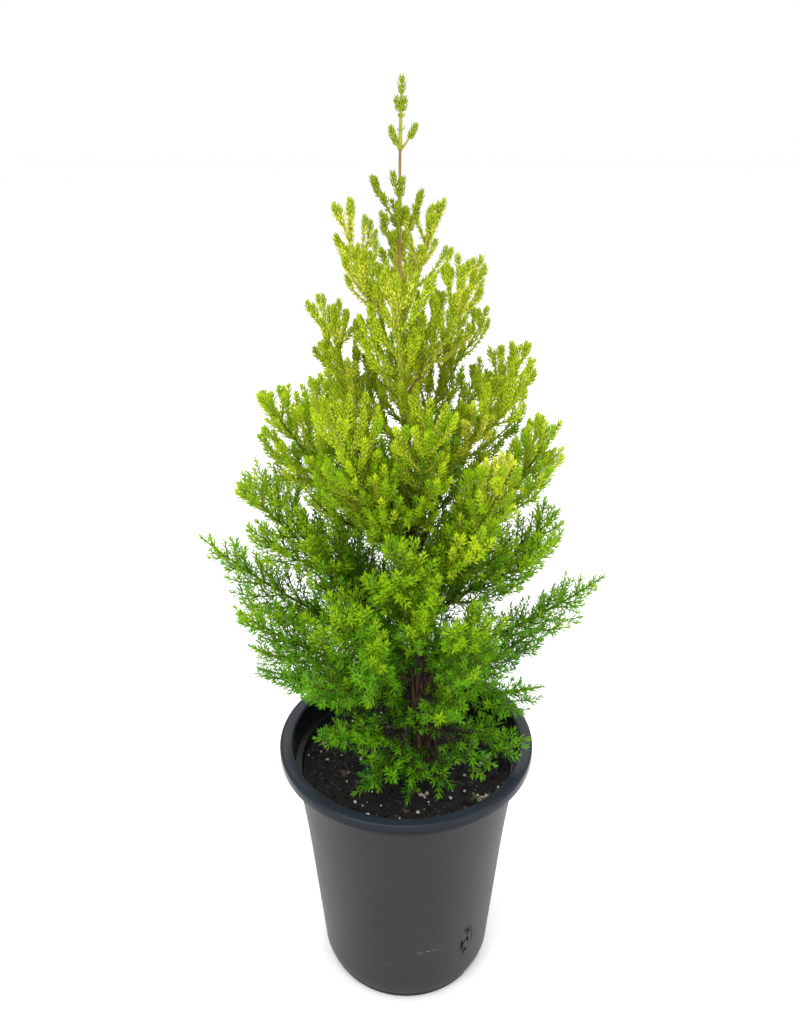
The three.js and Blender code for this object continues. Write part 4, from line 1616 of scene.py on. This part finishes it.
def twig_kind(twig):
    """Inner twigs are brown. The others are green, or lime where the plant is young."""
    x, y, z = twig.line.start
    if twig.order == 1 and math.hypot(x, y) < brown_within and z < brown_below:
        return "brown_twigs"
    return "lime_twigs" if youth(z) > lime_from else "green_twigs"


twig_kinds = {
    "brown_twigs": (plain_finish("brown_twig", (0.1, 0.045, 0.02), 0.7), "bark", []),
    "green_twigs": (plain_finish("green_twig", (0.1, 0.19, 0.012), 0.6), "foliage_green", []),
    "lime_twigs": (plain_finish("lime_twig", (0.38, 0.4, 0.05), 0.6), "foliage_lime", []),
}
for twig in all_twigs:
    twig_kinds[twig_kind(twig)][2].append(twig)
for name, (finish, slot, twigs) in twig_kinds.items():
    parts = []
    for order, sides, rings in twig_meshes:
        some = [twig for twig in twigs if twig.order == order]
        if some:
            roots = [twig_radius(twig, youth(twig.line.start[2])) for twig in some]
            tips = [tip_share * radius for radius in roots]
            first = woody_share - limb_share if order == 0 else 0
            parts.append(swept([twig.line for twig in some], first, roots, tips, sides, rings))
    piece = mesh_piece(name, *joined(parts), finish)
    on_plant(piece, slot)
    print(name, len(twigs), "twigs,", len(piece.data.polygons), "triangles")

# %% [markdown]
# ## Needles
# A needle is a slim spindle with five corners and six faces: a root sunk in the twig, a wide part
# with a keel below, and a sharp tip that curves forward. They stand in whorls of three or four,
# each whorl turned against the one before, and crowd together at the tip of each twig. The whole
# crown's needles are worked out as arrays, twig by twig. Each colour's needles are joined into one
# mesh, or into a few where there are very many of them.

# %% Needle sizes
# Each size is a pair, low on the plant and at its top. The second pair is what it gains behind
# the tip: low down the needles fan out there, and at the top they swell into a club.
lean, lean_gain = (20, 19), (42, 17)
needle_length, length_gain = (3.2, 2.6), (1.5, 0.7)
needle_width = (0.98, 1.3)
belly_place = (0.3, 0.42)
whorl_gap, gap_gain = (1.45, 1.0), (1.2, 1.9)
needles_in_whorl = (3, 4)
four_from = 0.5  # youth
gap_reach = 6
fan_reach = 3.2
club_reach = 2.5
club_from, club_to, club_fade = 4.5, 9, 0.6
youth_spread, turn_spread, length_spread, lean_spread = 0.08, 0.16, 0.12, 0.1
first_whorl = 0.15
bare_root = 0.6
bare_from = 7.0  # needles nearer the tip than this are never thinned out


def gained(sizes, gains, fan, club, y):
    """A size with its gain, blended between the plant's low and high parts."""
    return blend(sizes[0] + gains[0] * fan, sizes[1] + gains[1] * club, y)


# %% Needle places
needle_random = np.random.default_rng(11)


def whorl_places(length, y):
    """Distances from the tip at which a twig bears its whorls of needles."""
    places = []
    back = first_whorl
    while back < length - bare_root:
        places.append(back)
        fan, club = smooth(0, gap_reach, back), smooth(club_from, club_to, back)
        back += gained(whorl_gap, gap_gain, fan, club, y)
    return np.array(places)


def needles_on(twig, density, bare):
    """Root, tangent, outward direction, and sizes of every needle on a twig."""
    line = twig.line
    y = float(np.clip(youth(line.end[2]) + needle_random.uniform(-youth_spread, youth_spread), 0, 1))
    back = whorl_places(line.length * (1 - bare), y)
    if density < 1:
        back = back[(needle_random.uniform(size=len(back)) < density) | (back < bare_from)]
    if not len(back):
        return None
    shares = 1 - back / line.length
    points, along = line.at(shares), line.heading(shares)
    plane = np.cross(along[0], line.heading(0.0))
    if np.linalg.norm(plane) < 1e-5:
        plane = np.cross(along[0], SPARE)
    plane = unit(plane)
    second = np.cross(plane[None], along)
    whorl = needles_in_whorl[0 if y < four_from else 1]
    shape = (len(back), whorl)
    total = len(back) * whorl
    turn = needle_random.uniform(0, 6.28) + np.arange(len(back))[:, None] * (math.pi / whorl)
    turn = turn + np.arange(whorl)[None] * (2 * math.pi / whorl)
    turn = turn + needle_random.normal(0, turn_spread, shape)
    out = np.cos(turn)[..., None] * plane + np.sin(turn)[..., None] * second[:, None]
    radius = twig_radius(twig, y) * (tip_share + (1 - tip_share) * back / line.length)
    fan = smooth(0, fan_reach, back)
    club = smooth(0, club_reach, back) - club_fade * smooth(club_from, club_to, back)
    length = gained(needle_length, length_gain, fan, club, y)[:, None]
    length = length * needle_random.normal(1, length_spread, shape)
    angle = gained(lean, lean_gain, fan, club, y)[:, None]
    angle = np.radians(angle * needle_random.normal(1, lean_spread, shape))
    return {
        "point": np.repeat(points, whorl, axis=0),
        "along": np.repeat(along, whorl, axis=0),
        "out": out.reshape(-1, 3),
        "radius": np.repeat(radius, whorl),
        "angle": angle.ravel(),
        "length": length.ravel(),
        "width": np.full(total, blend(*needle_width, y)),
        "belly": np.full(total, blend(*belly_place, y)),
        "back": np.repeat(back, whorl),
    }


# %% Needle mesh
curved_forward = 0.84  # the tip's lean as a share of the root's
keel_depth = 0.45  # as a share of the width
root_sunk, wide_beyond = 0.3, 0.5  # in twig radii: where a needle starts, and how far on it is widest
corners_of_needle = 5
needle_faces = np.array([(3, 1, 4), (1, 2, 4), (2, 3, 4), (1, 3, 0), (2, 1, 0), (3, 2, 0)])


def needle_mesh(needles):
    """Six-faced spindles from the places and sizes of many needles."""
    one = {key: np.concatenate([some[key] for some in needles]) for key in needles[0]}
    along, out, angle = one["along"], one["out"], one["angle"]
    radius, length, width, belly = (one[key][:, None] for key in ("radius", "length", "width", "belly"))

    def leaning(angles):
        return np.cos(angles)[:, None] * along + np.sin(angles)[:, None] * out

    across = np.cross(along, out)
    below = np.cos(angle)[:, None] * out - np.sin(angle)[:, None] * along
    root = one["point"] + out * radius * root_sunk
    wide = root + out * radius * wide_beyond + leaning(angle) * length * belly
    tip = wide + leaning(angle * curved_forward) * length * (1 - belly)
    left, right = wide + across * width / 2, wide - across * width / 2
    keel = wide + below * width * keel_depth
    points = np.stack([root, left, right, keel, tip], axis=1).reshape(-1, 3)
    starts = np.arange(len(root)) * corners_of_needle
    faces = needle_faces[None] + starts[:, None, None]
    return points, faces.reshape(-1, 3)


# %% [markdown]
# ## Colours by spray
# From below upwards the foliage turns from fresh green to lime, and three small spots are golden.
# Sprays inside the crown and low down are painted darker, as painted shade, and sprays further out,
# higher up and in the skirt are painted brighter, as painted light. Each shoot takes one plain
# colour, picked by its height and by how far out it stands, with a little chance, so neighbours
# differ as they do on the plant. There are five steps of warmth and three of painted light and
# shade. Tips have a colour of their own: low down the newest needles are the brightest, with one
# step more of painted light, and at the top the crowded scales are a darker green. Each colour is
# plain, because a pattern finer than a needle would only be lost.

# %% Colours
warmths = [  # name, colour, finish slot
    ("low", (0.05, 0.215, 0.009), "foliage_low"),
    ("green", (0.12, 0.325, 0.006), "foliage_green"),
    ("fresh", (0.245, 0.43, 0.005), "foliage_green"),
    ("lime", (0.43, 0.565, 0.012), "foliage_lime"),
    ("gold", (0.60, 0.64, 0.05), "foliage_gold"),
    ("club", (0.34, 0.44, 0.012), "foliage_lime"),
]
painted_light_steps = [("shade", 0.42), ("mid", 0.8), ("bright", 1.12)]  # name, and how much the colour is scaled for painted shade and light
GOLD, CLUB = 4, 5  # places in the list of warmths
SHADE, MID, BRIGHT = 0, 1, 2  # places in the list of painted light and shade steps
warmth_by_height, warmth_by_reach, warmth_chance, warmth_start = 4.5, 0.2, 0.26, -0.15
light_by_height, light_by_reach, light_chance, light_start = 2.4, 2.1, 0.35, -1.0
skirt_warmth, skirt_light = 0.45, 1.2
reach_that_counts = 1.15
slimmest_crown = 20
shade_below = 0.55  # share of the height
club_above = 0.78  # youth
club_length = 4.6
leader_club_length = 9
fresh_length = 3.6
golden_spots = [  # place, size, steps of warmth
    ((44, -34, 400), 22, 1.5), ((36, -52, 340), 16, 0.8), ((-30, -30, 430), 14, 1.2),
]


def share_of_crown(point, z):
    """How far out a point stands, as a share of the crown's radius at a height."""
    radius = crown_radius(min(z, plant_top - slimmest_crown))
    return math.hypot(point[0], point[1]) / max(slimmest_crown, radius)


def spray_color(twig):
    """The warmth of a twig's colour and its step of painted light and shade, as indices."""
    while twig.order > 2:
        twig = twig.parent
    tip = twig.line.end
    height = (tip[2] - soil_top) / plant_height
    out = share_of_crown(tip, tip[2])
    warmth = warmth_by_height * height + warmth_by_reach * out
    warmth += fine_random.normal(0, warmth_chance) + warmth_start
    # painted light and shade: sprays further out and higher up take brighter steps, inner and low ones the
    # dark step
    depth = light_by_reach * min(out, reach_that_counts) + light_by_height * height
    depth += fine_random.normal(0, light_chance) + light_start
    if twig.mass == LEADER:
        return CLUB, MID
    # the skirt's sprays are warmer and take more painted light
    if branches[twig.mass].has_bough:
        warmth += skirt_warmth
        depth += skirt_light
    for place, size, step in golden_spots:
        if math.dist(tip, place) < size:
            warmth += step
    # high up no spray takes the painted shade step
    darkest = MID if height > shade_below else SHADE
    return int(np.clip(round(warmth), 0, GOLD)), int(np.clip(round(depth), darkest, BRIGHT))


def tips_apart(some, color, y, on_leader):
    """Splits a twig's needles by age, and gives each part its colour.

    On young twigs the crowded scales at the tip are a darker green than those behind. Low on the
    plant it is the other way round: the newest needles, at the tip, are the brightest, with one step
    more of painted light.
    """
    warmth, depth = color
    if y > club_above or on_leader:
        tip = some["back"] < (leader_club_length if on_leader else club_length)
        tip_color = (CLUB, depth)
    else:
        tip = some["back"] < fresh_length
        # painted light: low down the tip's needles take one step brighter
        tip_color = (warmth, min(depth + 1, BRIGHT))
    for chosen, its_color in ((tip, tip_color), (~tip, color)):
        if chosen.any():
            yield its_color, {key: values[chosen] for key, values in some.items()}


# %% Needles
bare_stem_root = 0.05
leader_density = 0.4
inner_density = 0.75
density_by_reach = 1.1
outer_part = 0.7  # the share of a twig whose place decides
most_needles = 32000  # a longer run of needles is shared out over more meshes
needle_roughness = 0.55


def needle_density(twig):
    """The share of whorls that a twig keeps: few on the leader, and fewer inside the crown."""
    if twig.mass == LEADER:
        return leader_density
    if branches[twig.mass].has_bough:
        return 1
    out = share_of_crown(twig.line.at(outer_part), twig.line.end[2])
    return float(np.clip(inner_density + density_by_reach * out, inner_density, 1))


dealt = {}
for twig in all_twigs:
    bare = bare_stem_root if twig.order == 0 else 0
    some = needles_on(twig, needle_density(twig), bare)
    if some is not None:
        on_leader = twig.mass == LEADER
        for color, part in tips_apart(some, spray_color(twig), youth(twig.line.end[2]), on_leader):
            dealt.setdefault(color, []).append((twig.mass, part))
needle_total = 0
for (warmth, depth), sprays in sorted(dealt.items()):
    color_name, color, slot = warmths[warmth]
    light_step_name, strength = painted_light_steps[depth]
    painted_light_color = tuple(part * strength for part in color)
    finish = plain_finish(f"needle_{color_name}_{light_step_name}", painted_light_color, needle_roughness)
    counts = np.cumsum([len(some["radius"]) for _, some in sprays])
    shares = counts // most_needles
    for share in sorted(set(shares)):
        own = [spray for spray, its_share in zip(sprays, shares) if its_share == share]
        points, faces = needle_mesh([some for _, some in own])
        name = f"needles_{color_name}_{light_step_name}_{share + 1}"
        piece = mesh_piece(name, points, faces, finish, smooth=False)
        masses = sorted({mass for mass, _ in own})
        nodes = ["leader" if mass == LEADER else f"foliage_{branches[mass].number}" for mass in masses]
        on_plant(piece, slot, *nodes)
        needle_total += len(faces)
        print(piece.name, len(faces), "triangles on", len(nodes), "masses")
print("needles take", needle_total, "triangles")
